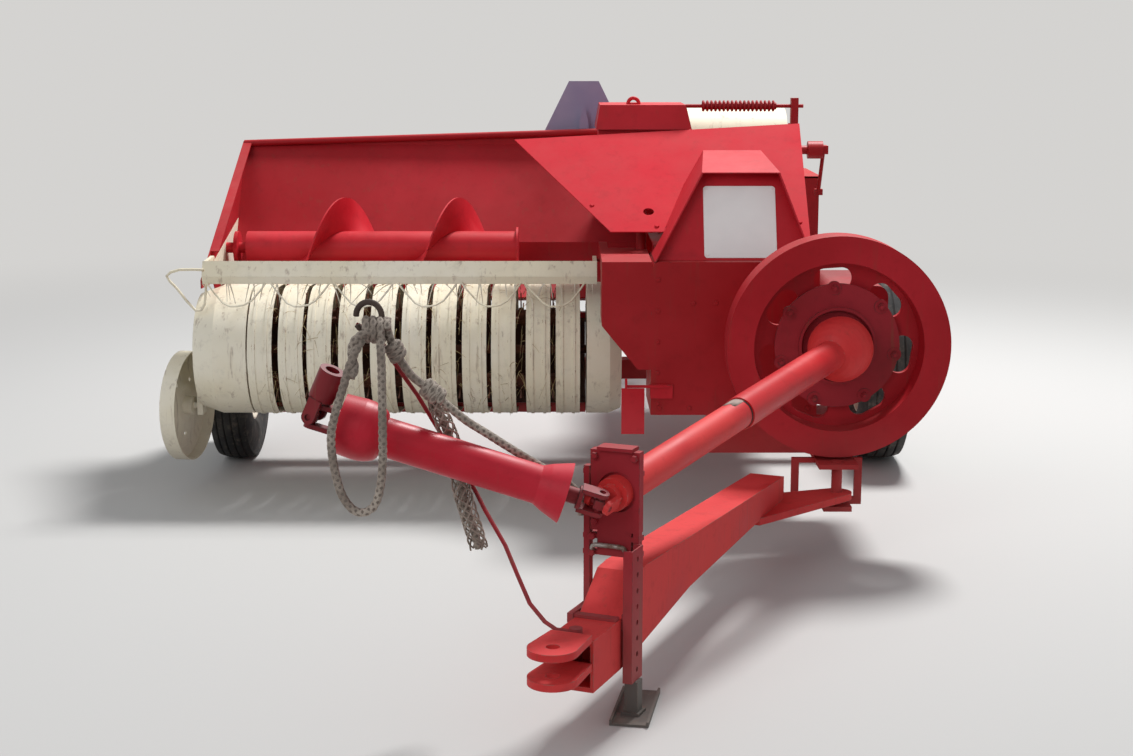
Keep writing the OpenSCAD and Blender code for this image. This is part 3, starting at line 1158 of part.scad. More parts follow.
// Needle yoke: two curved needles on a cross bar, with an arm each side of the case
module needle_yoke() color(dark_red) place() {
    for (s = [-1, 1]) side_plate(case_x + s * needle_gap / 2 - needle_t / 2, case_x + s * needle_gap / 2 + needle_t / 2)
        translate([needle_y, needle_z]) needle_arc();
    translate([0, needle_y, needle_z]) rotate([-180 - needle_tail, 0, 0]) {
        drum(rail_x0 - yoke_gap - yoke_t, rail_x1 + yoke_gap + yoke_t, needle_r, 0, 36);
        for (x = [rail_x0 - yoke_gap - yoke_t, rail_x1 + yoke_gap]) translate([x, 0, 0]) {
            translate([0, 0, -22]) cube([yoke_t, needle_r, 44]);
            rotate([0, 90, 0]) cylinder(d = 70, h = yoke_t, $fn = 48);
        }
    }
    drum(rail_x0 - yoke_gap - yoke_t - 6, case_in0 - case_wall - 6, needle_y, needle_z, yoke_pin_d);
    drum(case_in1 + case_wall + 6, rail_x1 + yoke_gap + yoke_t + 6, needle_y, needle_z, yoke_pin_d);
}
// arc of one needle in the plane of its swing
module needle_arc() difference() {
    intersection() {
        circle(needle_r + 12, $fn = 128);
        polygon([[0, 0], for (a = [needle_tip : -10 : needle_tail]) 600 * [-cos(a), sin(a)]]);
    }
    circle(needle_r - 12, $fn = 128);
}

// Braided rope: the loop, the run along the half shaft, and the frayed end
module rope_loop() color(rope_colour) place() cord_tube(loop_pts, rope_d);
module rope_run() color(rope_colour) place() cord_tube(run_pts, rope_d);
module rope_tail() color(rope_colour) place() cord_tube(tail_pts, rope_d);

main_frame();
bale_case();
feed_wall();
front_box();
side_box();
gearbox();
drive_shield();
slope_sheet();
packer_housing();
feeder_platform();
spring_rod();
knotter_hood();
knotter();
twine_box();
twine_lid();
tension_rails();
bale_chute();
metering_wheel();
rear_sign();
tag_plate();
swing_bracket();
tyre_left();
rim_left();
tyre_right();
rim_right();
flywheel();
slip_clutch();
tongue_beam();
hitch_clevis();
drive_stand();
drive_tube_front();
drive_tube_rear();
half_shaft();
tractor_yoke();
shaft_joint();
rope_guide();
jack_channel();
jack_leg();
pickup_frame();
stripper_bands();
pickup_shields();
gauge_arm();
gauge_wheel();
pickup_reel();
wind_guard();
auger();
auger_flight();
plunger();
needle_yoke();
rope_loop();
rope_run();
rope_tail();
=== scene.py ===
import json
import math
import bpy
import numpy as np
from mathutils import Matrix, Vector


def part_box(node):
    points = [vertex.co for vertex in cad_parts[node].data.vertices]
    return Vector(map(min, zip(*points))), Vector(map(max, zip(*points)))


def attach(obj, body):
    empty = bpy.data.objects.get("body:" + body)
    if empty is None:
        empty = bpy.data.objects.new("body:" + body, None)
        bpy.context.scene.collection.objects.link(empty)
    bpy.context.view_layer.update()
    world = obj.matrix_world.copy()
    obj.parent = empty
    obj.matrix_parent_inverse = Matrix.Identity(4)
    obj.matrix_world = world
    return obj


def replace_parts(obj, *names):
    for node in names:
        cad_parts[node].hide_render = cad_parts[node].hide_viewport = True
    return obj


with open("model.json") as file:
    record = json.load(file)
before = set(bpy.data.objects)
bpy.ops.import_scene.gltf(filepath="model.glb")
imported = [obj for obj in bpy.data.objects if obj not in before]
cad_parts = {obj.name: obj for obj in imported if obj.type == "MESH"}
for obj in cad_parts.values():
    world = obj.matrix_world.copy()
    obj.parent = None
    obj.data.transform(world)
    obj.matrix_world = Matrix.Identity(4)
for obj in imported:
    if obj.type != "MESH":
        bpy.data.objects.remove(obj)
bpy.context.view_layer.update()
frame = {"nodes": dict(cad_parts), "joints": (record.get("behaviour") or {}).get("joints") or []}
nodes = frame["nodes"]

# The design frame has X = 0 in the middle of the view, Y = 0 at the axle and Z = 0 on the ground. The
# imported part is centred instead, so the flywheel's pivot gives the shift between the two.
pivots = {joint["name"]: joint["pos_m"] for joint in frame["joints"] if "pos_m" in joint}
flywheel_at = np.array([0.866, -1.430, 0.676])
shift = np.array(pivots["flywheel_spin"]) - flywheel_at


def spot(x, y, z):
    """A point in millimetres from the view's middle, the axle line and the ground, in the part's metres."""
    return np.array([x, y, z]) / 1000 + shift


# Camera: it stands where the photograph was taken, on the machine's middle line and 1.62 m above the
# ground, and looks a little down through a short telephoto lens.
camera_distance, camera_height, look_down = 6970, 1620, 10.6
eye = bpy.data.cameras.new("eye")
eye.lens = 56.46
eye.sensor_width = 36
eye.clip_end = 60
camera = bpy.data.objects.new("camera", eye)
camera.location = spot(0, -camera_distance, camera_height)
camera.rotation_euler = (math.radians(90 - look_down), 0, 0)
bpy.context.scene.collection.objects.link(camera)
bpy.context.scene.camera = camera
bpy.context.scene.view_settings.view_transform = "Standard"

# Studio: a pale backdrop, a large soft lamp high behind the machine and to its right, and a weak one at the
# left front. The backdrop's paleness is there for the eye and for reflections, and sheds no light on the
# machine.
backdrop = (0.66, 0.65, 0.635, 1)
sky_colour = (0.93, 0.96, 1.0, 1)
sky_strength = 0.45
lamps_aim = Vector((0, -0.3, 0.5))
lamp_rows = [("high_lamp", (2.3, 3.1, 7.6), 2.0, 860), ("front_lamp", (-3.6, -6.4, 4.2), 4.0, 105)]


def seen_directly(tree):
    """1 for camera, glossy and transmission rays, and 0 for the rays that light the machine."""
    path = tree.nodes.new("ShaderNodeLightPath")
    seen = path.outputs["Is Camera Ray"]
    for kind in ("Is Glossy Ray", "Is Transmission Ray"):
        most = tree.nodes.new("ShaderNodeMath")
        most.operation = "MAXIMUM"
        tree.links.new(seen, most.inputs[0])
        tree.links.new(path.outputs[kind], most.inputs[1])
        seen = most.outputs[0]
    return seen


world = bpy.data.worlds.new("studio_air")
world.use_nodes = True
bpy.context.scene.world = world
air = world.node_tree
sky = air.nodes["Background"]
sky.inputs[0].default_value = sky_colour
sky.inputs[1].default_value = sky_strength
pale_air = air.nodes.new("ShaderNodeBackground")
pale_air.inputs[0].default_value = backdrop
either_air = air.nodes.new("ShaderNodeMixShader")
air.links.new(seen_directly(air), either_air.inputs[0])
air.links.new(sky.outputs[0], either_air.inputs[1])
air.links.new(pale_air.outputs[0], either_air.inputs[2])
air.links.new(either_air.outputs[0], air.nodes["World Output"].inputs[0])
for lamp_name, lamp_at, lamp_size, lamp_power in lamp_rows:
    lamp = bpy.data.lights.new(lamp_name, "AREA")
    lamp.shape = "DISK"
    lamp.size = lamp_size
    lamp.energy = lamp_power
    lamp_object = bpy.data.objects.new(lamp_name, lamp)
    lamp_object.location = lamp_at
    lamp_object.rotation_euler = (lamps_aim - Vector(lamp_at)).to_track_quat("-Z", "Y").to_euler()
    bpy.context.scene.collection.objects.link(lamp_object)

# Floor: one wide pale sheet just under the wheels. It keeps the machine's shadow near it and fades into the
# backdrop further out.
floor_colour = (0.54, 0.533, 0.52, 1)
floor_half_width, floor_drop, floor_lines = 32, 0.0005, 9
fade_from, fade_to = 2.6, 8.5


def quads(rows, cols, wrap_rows=False, wrap_cols=False):
    """Corners of the quads of a grid of rows by cols points, each running on to the first where it wraps."""
    i = np.arange(rows if wrap_rows else rows - 1)[:, None]
    j = np.arange(cols if wrap_cols else cols - 1)[None, :]
    down, right = (i + 1) % rows, (j + 1) % cols
    corners = [i * cols + j, i * cols + right, down * cols + right, down * cols + j]
    return np.stack(corners, -1).reshape(-1, 4)


def new_piece(name, points, faces, material, body, smooth=True):
    """A mesh from an array of points and arrays of corners, on a body. Its volume is the sum of the triple
    products of its triangles' corners, and where that is negative every face is turned over."""
    faces = [faces] if isinstance(faces, np.ndarray) else faces
    points = points.reshape(-1, 3)
    volume = 0
    for face in faces:
        for k in range(1, face.shape[1] - 1):
            crossed = np.cross(points[face[:, k]], points[face[:, k + 1]])
            volume += np.einsum("ij,ij->i", points[face[:, 0]], crossed).sum()
    outward = [face if volume >= 0 else face[:, ::-1] for face in faces]
    mesh = bpy.data.meshes.new(name)
    mesh.from_pydata(points.tolist(), [], [corners for face in outward for corners in face.tolist()])
    mesh.polygons.foreach_set("use_smooth", np.full(len(mesh.polygons), smooth))
    mesh.materials.append(material)
    mesh.update()
    piece = bpy.data.objects.new(name, mesh)
    bpy.context.scene.collection.objects.link(piece)
    if body:
        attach(piece, body)
    return piece


floor_paint = bpy.data.materials.new("pale_floor")
floor_paint.use_nodes = True
floor_tree = floor_paint.node_tree
floor_shader = floor_tree.nodes["Principled BSDF"]
floor_shader.inputs["Base Color"].default_value = floor_colour
floor_shader.inputs["Roughness"].default_value = 0.9
floor_shader.inputs["Specular IOR Level"].default_value = 0.1
far_out = floor_tree.nodes.new("ShaderNodeVectorMath")
far_out.operation = "LENGTH"
floor_tree.links.new(floor_tree.nodes.new("ShaderNodeTexCoord").outputs["Object"], far_out.inputs[0])
fade = floor_tree.nodes.new("ShaderNodeMapRange")
fade.interpolation_type = "SMOOTHSTEP"
fade.inputs["From Min"].default_value = fade_from
fade.inputs["From Max"].default_value = fade_to
floor_tree.links.new(far_out.outputs["Value"], fade.inputs["Value"])
floor_glow = floor_tree.nodes.new("ShaderNodeEmission")
floor_glow.inputs[0].default_value = backdrop
floor_tree.links.new(seen_directly(floor_tree), floor_glow.inputs[1])
floor_blend = floor_tree.nodes.new("ShaderNodeMixShader")
floor_tree.links.new(fade.outputs[0], floor_blend.inputs[0])
floor_tree.links.new(floor_shader.outputs[0], floor_blend.inputs[1])
floor_tree.links.new(floor_glow.outputs[0], floor_blend.inputs[2])
floor_tree.links.new(floor_blend.outputs[0], floor_tree.nodes["Material Output"].inputs[0])
floor_line = np.linspace(-floor_half_width, floor_half_width, floor_lines)
floor_level = np.full((floor_lines, floor_lines), -floor_drop)
floor_points = np.stack(np.broadcast_arrays(floor_line[:, None], floor_line[None, :], floor_level), -1)
floor = new_piece("studio_floor", floor_points, quads(floor_lines, floor_lines), floor_paint, None)

# Bale case, feed wall, packer housing, drive shield, rails, chute and auger: welded plate and rolled sheet
# under a gloss red enamel. It has faded in patches and chipped along its edges, with dust on top and dirt
# low down.
rust_brown = (0.16, 0.055, 0.03)
field_dust = (0.36, 0.30, 0.25)


class Paint:
    """A new material of one Principled shader, with helpers that put nodes before it."""

    def __init__(self, name):
        """Makes the material and reads the place on the object, in metres."""
        self.material = bpy.data.materials.new(name)
        self.material.use_nodes = True
        self.tree = self.material.node_tree
        self.surface = self.tree.nodes["Principled BSDF"]
        self.place = self.node("TexCoord").outputs["Object"]

    def put(self, socket, value):
        """Links a socket to another one, or sets its value."""
        if isinstance(value, bpy.types.NodeSocket):
            self.tree.links.new(value, socket)
        else:
            socket.default_value = value

    def node(self, kind, inputs=None, **settings):
        """Adds a node of one kind, sets its properties, and links or sets its inputs."""
        made = self.tree.nodes.new("ShaderNode" + kind)
        for key, value in settings.items():
            setattr(made, key, value)
        for key, value in (inputs or {}).items():
            self.put(made.inputs[key], value)
        return made

    def blend(self, mask, low, high):
        """Colour low where the mask is 0 and high where it is 1."""
        mixed = self.node("Mix", {0: mask}, data_type="RGBA")
        for index, colour in ((6, low), (7, high)):
            self.put(mixed.inputs[index], (*colour, 1) if isinstance(colour, tuple) else colour)
        return mixed.outputs[2]

    def ramp(self, value, low, high):
        """A smooth step of a value from 0 at low to 1 at high."""
        return self.node("MapRange", {0: value, 1: low, 2: high}, interpolation_type="SMOOTHSTEP").outputs[0]

    def maths(self, operation, a, b):
        """One arithmetic node."""
        return self.node("Math", {0: a, 1: b}, operation=operation).outputs[0]

    def noise(self, scale, detail=3.0, stretch=None, rough=0.5):
        """Noise on the object's own coordinates, drawn out where stretch is given."""
        at = self.node("Mapping", {0: self.place, 3: stretch}).outputs[0] if stretch else self.place
        inputs = {"Vector": at, "Scale": scale, "Detail": detail, "Roughness": rough}
        return self.node("TexNoise", inputs).outputs[0]

    def finish(self, colour, roughness, relief, strength=0.3, distance=0.001):
        """Puts colour, roughness and a bump from a relief on the shader, and gives the material back."""
        bump = self.node("Bump", {"Height": relief, "Strength": strength, "Distance": distance})
        self.put(self.surface.inputs["Base Color"], colour)
        self.put(self.surface.inputs["Roughness"], roughness)
        self.put(self.surface.inputs["Normal"], bump.outputs[0])
        return self.material


def enamel(name, colour, faded, bare, wear=0.5, dust=0.35, gloss=0.42, rust=0.25, low_dirt=0.35, shine=0.26):
    """Paint over metal: faded in wide patches, stained in small ones, streaked with rust down its sides,
    chipped where a rounded normal leaves the flat one, dusty where it faces up and splashed low down. The
    colours are the paint's own, its faded one and what shows where it is chipped."""
    paint = Paint(name)
    ramp, noise, maths, blend = paint.ramp, paint.noise, paint.maths, paint.blend
    normal = paint.node("NewGeometry").outputs["Normal"]
    up = paint.node("SeparateXYZ", {0: normal}).outputs[2]
    height = paint.node("SeparateXYZ", {0: paint.place}).outputs[2]

    patches = ramp(noise(1.7, 5, rough=0.6), 0.40, 0.66)
    stains = maths("MULTIPLY", ramp(noise(23, 4, rough=0.7), 0.5, 0.75), 0.22)
    shade = blend(stains, blend(patches, colour, faded), tuple(c * 0.45 for c in colour))
    streaks = maths("MULTIPLY", ramp(noise(6, 4, stretch=(7, 7, 0.55), rough=0.65), 0.56, 0.72), rust)
    shade = blend(streaks, shade, rust_brown)

    round_edge = paint.node("Bevel", {"Radius": 0.0045}, samples=4).outputs[0]
    flat = paint.node("VectorMath", {0: round_edge, 1: normal}, operation="DOT_PRODUCT").outputs["Value"]
    edge = ramp(maths("SUBTRACT", 1.0, flat), 0.02, 0.16)
    ragged = ramp(noise(34, 5, rough=0.75), 0.62 - 0.25 * wear, 0.70 - 0.2 * wear)
    spots = maths("MULTIPLY", ramp(noise(55, 3, rough=0.8), 0.72, 0.80), wear * 0.6)
    shade = blend(maths("MAXIMUM", maths("MULTIPLY", edge, ragged), spots), shade, bare)

    resting = maths("MULTIPLY", ramp(up, 0.45, 0.98), ramp(noise(5, 5, rough=0.7), 0.28, 0.72))
    settled = maths("MULTIPLY", resting, dust)
    splash_line = maths("ADD", height, maths("MULTIPLY", noise(4, 3), 0.25))
    splash = maths("MULTIPLY", ramp(splash_line, 0.62, 0.14), low_dirt)
    dusted = tuple(0.45 * own + 0.55 * dirt for own, dirt in zip(faded, field_dust))
    shade = blend(maths("MAXIMUM", settled, splash), shade, dusted)

    paint.surface.inputs["Specular IOR Level"].default_value = shine
    rough = maths("ADD", gloss, maths("MULTIPLY", maths("ADD", patches, settled), 0.22))
    waves = maths("MULTIPLY", noise(3.2, 2), 3.0)
    grain = maths("MULTIPLY", noise(260, 2), 0.12)
    return paint.finish(shade, maths("MINIMUM", rough, 0.95), maths("ADD", waves, grain), 0.35, 0.004)


def dress(material, *names):
    """Gives CAD nodes a material."""
    for node_name in names:
        mesh = nodes[node_name].data
        mesh.materials.clear()
        mesh.materials.append(material)


red_enamel = enamel("red_enamel", (0.50, 0.010, 0.020), (0.60, 0.022, 0.036), (0.14, 0.05, 0.04),
                    wear=0.25, rust=0.12, dust=0.16, low_dirt=0.25)
dress(red_enamel, "bale_case", "feed_wall", "drive_shield", "packer_housing", "tension_rails", "bale_chute",
      "metering_wheel", "tag_plate", "auger")

# Frame, boxes, brackets and knotters: welded channel and folded sheet in the case's red, darkened as
# painted shade on their faces turned from the lamp. Hex bolts with the same paint over them hold the front
# box by its lower and left flanges, and two more hold its face.
lower_flange, left_flange = 0.025, 0.022
side_inset, foot_inset, head_inset = 0.03, 0.04, 0.06
# A darker copy of the case's red, which paints the shade on these parts.
painted_shade_red = enamel("painted_shade_red_enamel", (0.34, 0.007, 0.011), (0.42, 0.014, 0.020), (0.09, 0.035, 0.03),
                  wear=0.3, rust=0.2, gloss=0.46, dust=0.2)
dress(painted_shade_red, "main_frame", "front_box", "side_box", "spring_rod", "knotter", "twine_box", "twine_lid",
      "swing_bracket", "needle_yoke", "pickup_frame")


def bolt_heads(name, places, out, across, tall, material, body):
    """Six-sided heads with a chamfered top: three rings of six points about each place, along out."""
    places = np.array(places, float).reshape(-1, 3)
    out = np.broadcast_to(np.array(out, float), places.shape)
    out = out / np.linalg.norm(out, axis=1, keepdims=True)
    one = np.cross(out, [0.31, 0.42, 0.85])
    one /= np.linalg.norm(one, axis=1, keepdims=True)
    other = np.cross(out, one)
    turn = np.linspace(0, 2 * np.pi, 6, endpoint=False)[None, :, None]
    circle = np.cos(turn) * one[:, None, :] + np.sin(turn) * other[:, None, :]
    rings = [places[:, None, :] + circle * across / 2 * width + out[:, None, :] * tall * height
             for width, height in ((1, -0.3), (1, 0.8), (0.82, 1.0))]
    first_point = np.arange(len(places))[:, None, None] * 18
    sides = (quads(3, 6, wrap_cols=True)[None] + first_point).reshape(-1, 4)
    caps = (np.stack([np.arange(6)[::-1], 12 + np.arange(6)])[None] + first_point).reshape(-1, 6)
    return new_piece(name, np.concatenate(rings, 1), [sides, caps], material, body, smooth=False)


box_low, box_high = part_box("front_box")
box_face = box_low[1]
columns = np.linspace(box_low[0] + side_inset, box_high[0] - side_inset, 6)
rows = np.linspace(box_low[2] + foot_inset, box_high[2] - head_inset, 5)
lower_bolts = [(x, box_face, box_low[2] + lower_flange) for x in columns]
left_bolts = [(box_low[0] + left_flange, box_face, z) for z in rows]
face_bolts = [spot(427, -1050, 767), spot(503, -1050, 769)]
bolt_heads("front_box_bolts", lower_bolts + left_bolts + face_bolts, (0, -1, 0), across=0.015, tall=0.005,
           material=painted_shade_red, body="baler")

# Slope sheet: one wide sheet that leans from the packer housing down to the front box, its enamel chalked
# dull by the sun and its red a little lighter and pinker than the case's, as painted sunlight. Hex bolts hold
# its two lower corners and its edge above the front box.
# Its colour, a little lighter and pinker than the case's red, is painted sunlight on the leaning sheet.
chalked_sunlit_red = enamel("chalked_sunlit_red", (0.52, 0.014, 0.026), (0.60, 0.030, 0.045), (0.14, 0.05, 0.04),
                     wear=0.2, rust=0.1, dust=0.12, gloss=0.72, shine=0.12)
dress(chalked_sunlit_red, "slope_sheet")
slope_out = (0, -0.5678, 0.8231)
slope_bolts_at = [spot(91, -657, 1061.5), spot(317, -752, 996.5), spot(820, -734, 1008.5)]
bolt_heads("slope_bolts", slope_bolts_at, slope_out, across=0.017, tall=0.006,
           material=chalked_sunlit_red, body="baler")

# Road wheels: pressed steel rims in weathered cream enamel, six bolts through each disc, and implement
# tyres of grey, aged rubber with five ribs between four grooves, dusty where the ground doesn't clean them.
cream_enamel = enamel("cream_enamel", (0.78, 0.71, 0.54), (0.84, 0.79, 0.66), (0.34, 0.20, 0.11),
                      wear=0.32, rust=0.42, dust=0.1, low_dirt=0.6, gloss=0.5, shine=0.2)
dress(cream_enamel, "rim_left", "rim_right")
bead_radius = 0.1915
groove_places, groove_half_width, groove_depth = (-0.62, -0.22, 0.22, 0.62), 0.035, 0.009
tread_share, crown_drop, shoulder_drop = 0.86, 0.012, 0.020
tyre_steps, across_steps, wall_steps = 120, 61, 12
bolt_circle, disc_out = 0.070, 0.030


def tyre_rubber():
    """Dull black rubber, greyer and dusty in patches."""
    paint = Paint("aged_rubber")
    greyed = paint.ramp(paint.noise(5, 5, rough=0.7), 0.35, 0.7)
    dusty = paint.maths("MULTIPLY", paint.ramp(paint.noise(30, 4, rough=0.7), 0.5, 0.72), 0.5)
    shade = paint.blend(greyed, (0.012, 0.012, 0.013), (0.055, 0.05, 0.045))
    return paint.finish(paint.blend(dusty, shade, (0.16, 0.13, 0.10)), 0.85, paint.noise(150, 3))


aged_rubber = tyre_rubber()


def ribbed_tyre(node_name, body):
    """A tyre's outline turned about X: a wall that bulges by a sine from bead to shoulder, and a crown that
    drops by a power of the way across and by steep bell curves at the grooves."""
    low, high = (np.array(corner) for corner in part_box(node_name))
    middle, radius, half = (low + high) / 2, (high[2] - low[2]) / 2, (high[0] - low[0]) / 2
    across = np.linspace(-1, 1, across_steps)
    groove = sum(np.exp(-((across - place) / groove_half_width) ** 4) for place in groove_places)
    crown = radius - crown_drop * np.abs(across) ** 2.4 - groove_depth * groove
    tread = np.stack([across * half * tread_share, crown], -1)
    climb = np.linspace(0, 1, wall_steps)[:, None]
    bulge = half * (0.74 + 0.27 * np.sin(np.pi * climb ** 0.8) ** 0.7)
    wall = np.hstack([bulge, bead_radius + (radius - shoulder_drop - bead_radius) * climb])
    outline = np.vstack([wall * [-1, 1], tread, wall[::-1]])
    outline[:, 0] = np.clip(outline[:, 0], -half, half)
    turn = np.linspace(0, 2 * np.pi, tyre_steps, endpoint=False)[:, None]
    sideways = np.broadcast_to(outline[:, 0], (tyre_steps, len(outline)))
    points = np.stack([middle[0] + sideways, middle[1] + outline[:, 1] * np.cos(turn),
                       middle[2] + outline[:, 1] * np.sin(turn)], -1)
    faces = quads(tyre_steps, len(outline), True, True)
    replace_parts(new_piece(node_name + "_ribbed", points, faces, aged_rubber, body), node_name)


def wheel_bolts(rim, body, outward):
    """Six hex heads on a circle on the rim's disc, facing outward."""
    low, high = (np.array(corner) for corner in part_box(rim))
    hub = (low + high) / 2
    places = [(hub[0] + outward * disc_out, hub[1] + bolt_circle * math.cos(turn),
               hub[2] + bolt_circle * math.sin(turn)) for turn in np.arange(6) * np.pi / 3]
    bolt_heads(rim + "_bolts", places, (outward, 0, 0), across=0.022, tall=0.014,
               material=cream_enamel, body=body)


for side, outward in (("left", 1), ("right", -1)):
    ribbed_tyre("tyre_" + side, "wheel_" + side)
    wheel_bolts("rim_" + side, "wheel_" + side, outward)

# Pickup: cream stripper bands between end shields, a gauge wheel on its arm, and a wind guard on top. The
# tined reel turns inside the bands, all of it brown with rust.
dress(cream_enamel, "stripper_bands", "pickup_shields", "gauge_arm", "gauge_wheel", "wind_guard")
rusted_reel = enamel("rusted_reel", (0.11, 0.035, 0.022), (0.17, 0.065, 0.035), (0.06, 0.025, 0.018),
                     wear=0.6, rust=0.6, gloss=0.8)
dress(rusted_reel, "pickup_reel")

# Pan behind the reel: one rusted sheet rolled to the sweep of the tines, flanged on to the frame's two bars,
# its rust painted darker than the reel's as the shade inside the pickup. It runs the reel's whole width and
# closes the pickup behind the bands.
pan_radius, pan_thick = 276, 2.5
pan_left, pan_right = -1135.0, 71.0
reel_middle = np.array([-547, 526])
# The pan's colour, darker than the reel's rust, is partly rust and partly painted shade.
pan_rust_and_shade = enamel("rusted_pan_painted_shade", (0.055, 0.022, 0.015), (0.085, 0.04, 0.025), (0.04, 0.02, 0.015),
                  wear=0.5, rust=0.5, gloss=0.85)
sweep = np.radians(np.linspace(13, -52, 34))
rolled = reel_middle + pan_radius * np.stack([np.cos(sweep), np.sin(sweep)], -1)
pan = np.vstack([[-257.5, 597], rolled, [-351, 287]])
from_reel = pan - reel_middle
inner = pan - pan_thick * from_reel / np.linalg.norm(from_reel, axis=1, keepdims=True)
pan_outline = np.vstack([pan, inner[::-1]])
pan_ends = [np.column_stack([np.full(len(pan_outline), x), pan_outline]) for x in (pan_left, pan_right)]
new_piece("reel_pan", np.concatenate(pan_ends) / 1000 + shift, quads(2, len(pan_outline), wrap_cols=True),
          pan_rust_and_shade, "pickup")

# Feeder platform, with its folded lip, and the flywheel: plate and cast iron in the red of the sheets, made
# darker as painted shade inside the platform and on the flywheel's face, which is turned from the lamp.
shaded_red = enamel("shaded_red", (0.36, 0.008, 0.014), (0.44, 0.015, 0.024), (0.10, 0.04, 0.035),
                    wear=0.25, rust=0.2, dust=0.2, gloss=0.5, shine=0.2)
dress(shaded_red, "feeder_platform", "flywheel")

# Lining of the outer end sheet: a cream patch on the sheet's inner side, where the red was never painted
# over. It is only paint, so it is a film of a millimetre.
lining_from, lining_to = -1296.9, -1295.9
lining = np.array([[-505, 822], [180, 742], [196, 760], [84, 958], [66, 954], [-492, 836]])
lining_rims = [np.column_stack([np.full(len(lining), x), lining]) for x in (lining_from, lining_to)]
lining_caps = np.stack([np.arange(6)[::-1], 6 + np.arange(6)])
lining_faces = [quads(2, len(lining), wrap_cols=True), lining_caps]
new_piece("end_sheet_lining", np.concatenate(lining_rims) / 1000 + shift, lining_faces, cream_enamel,
          "baler", smooth=False)

# Auger flighting: one sheet 6 mm thick wound round the drum and welded to it, in the red of the sheets. Its
# pitch is 432 mm, and it starts 40 mm in from the drum's end.
flight_left, flight_long, flight_pitch, flight_lead, flight_thick = -1174, 971, 432, 40, 6
auger_y, auger_z, drum_edge, flight_middle, flight_edge = -215, 862, 63.1, 127, 190
flight_steps = 260
along = np.linspace(0, flight_long, flight_steps)
blade_at = np.radians(33 - 360 * (flight_lead + along) / flight_pitch)[:, None]
blade_reach = np.array([drum_edge, drum_edge, flight_middle, flight_edge, flight_edge, flight_middle])
blade_side = np.array([flight_thick, 0, 0, 0, flight_thick, flight_thick])
blade = np.stack([flight_left + along[:, None] + blade_side, auger_y + blade_reach * np.cos(blade_at),
                  auger_z + blade_reach * np.sin(blade_at)], -1)
blade_caps = np.stack([np.arange(6)[::-1], (flight_steps - 1) * 6 + np.arange(6)])
blade_faces = [quads(flight_steps, 6, wrap_cols=True), blade_caps]
flighting = new_piece("flighting_smooth", blade / 1000 + shift, blade_faces, red_enamel, "auger",
                      smooth=False)
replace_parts(flighting, "auger_flight")

# Plunger: bare steel plate that slides in the bale case, worn bright in places and brown with thin rust in
# others. The latch's bar on the drive stand has the same finish.
bright_steel, thin_rust = (0.36, 0.34, 0.32), (0.15, 0.075, 0.045)


def steel_material():
    """Bright steel, and brown where broad noise is high."""
    paint = Paint("worn_bare_steel")
    rusty = paint.ramp(paint.noise(14, 5, rough=0.7), 0.42, 0.62)
    shade = paint.blend(rusty, bright_steel, thin_rust)
    paint.surface.inputs["Metallic"].default_value = 0.65
    rough = paint.maths("ADD", 0.35, paint.maths("MULTIPLY", rusty, 0.4))
    return paint.finish(shade, rough, paint.noise(90, 3))


bare_steel = steel_material()
dress(bare_steel, "plunger")

# Knotter hood: one rolled sheet over the knotters, in the cream of the wheels. It is bolted to the top of
# the bale case, behind the packer housing.
dress(cream_enamel, "knotter_hood")

# Rear sign and blank panel: smooth sheet. The sign stands on its post at the back, dull violet from long
# weather. The panel is white with rounded corners, and four screws hold it to the drive shield, which leans
# back 26 degrees.
shield_lean = math.radians(26)
panel_half_wide, panel_half_tall, panel_corner, panel_thick = 0.123, 0.130, 0.012, 0.002
screw_aside, screw_above = 0.112, 0.119


def plain_paint(name, colour, second, rough=0.45):
    """Smooth paint with faint clouding between two colours."""
    paint = Paint(name)
    shade = paint.blend(paint.ramp(paint.noise(6, 4), 0.3, 0.75), colour, second)
    return paint.finish(shade, rough, paint.noise(120, 2), 0.08, 0.0005)


def rounded_sheet(name, middle, right, up, half_wide, half_tall, corner, thick, material, body):
    """A flat sheet whose outline is four quarter circles joined by straight edges, rounded at its rim."""
    rim_round = 0.0008
    turn = np.linspace(0, 2 * np.pi, 40, endpoint=False) + np.pi / 40
    across = np.sign(np.cos(turn)) * (half_wide - corner) + corner * np.cos(turn)
    rise = np.sign(np.sin(turn)) * (half_tall - corner) + corner * np.sin(turn)
    out = np.cross(right, up)
    rings = []
    for inset, lift in ((0, 0), (0, thick - rim_round), (rim_round, thick)):
        scale = 1 - inset / half_wide
        rings.append(middle + (across * scale)[:, None] * right + (rise * scale)[:, None] * up + out * lift)
    caps = np.stack([np.arange(40)[::-1], 80 + np.arange(40)])
    faces = [quads(3, 40, wrap_cols=True), caps]
    return new_piece(name, np.concatenate(rings), faces, material, body, smooth=False)


dress(plain_paint("dull_violet_sheet", (0.27, 0.25, 0.40), (0.34, 0.31, 0.45), 0.6), "rear_sign")
sign_white = plain_paint("sign_white", (0.95, 0.95, 0.93), (0.88, 0.88, 0.865))
face_up = np.array([0, math.sin(shield_lean), math.cos(shield_lean)])
face_out = np.array([0, -math.cos(shield_lean), math.sin(shield_lean)])
face_right = np.array([1.0, 0, 0])
face_middle = spot(589, -1050, 907) - face_out * 0.046 + face_up * 0.160
screws_at = [face_middle + face_right * screw_aside * i + face_up * screw_above * j
             for i in (-1, 1) for j in (-1, 1)]
rounded_sheet("blank_panel", face_middle + face_out * 0.0002, face_right, face_up, panel_half_wide,
              panel_half_tall, panel_corner, panel_thick, sign_white, "baler")
bolt_heads("blank_panel_screws", screws_at, face_out, across=0.010, tall=0.0045,
           material=sign_white, body="baler")

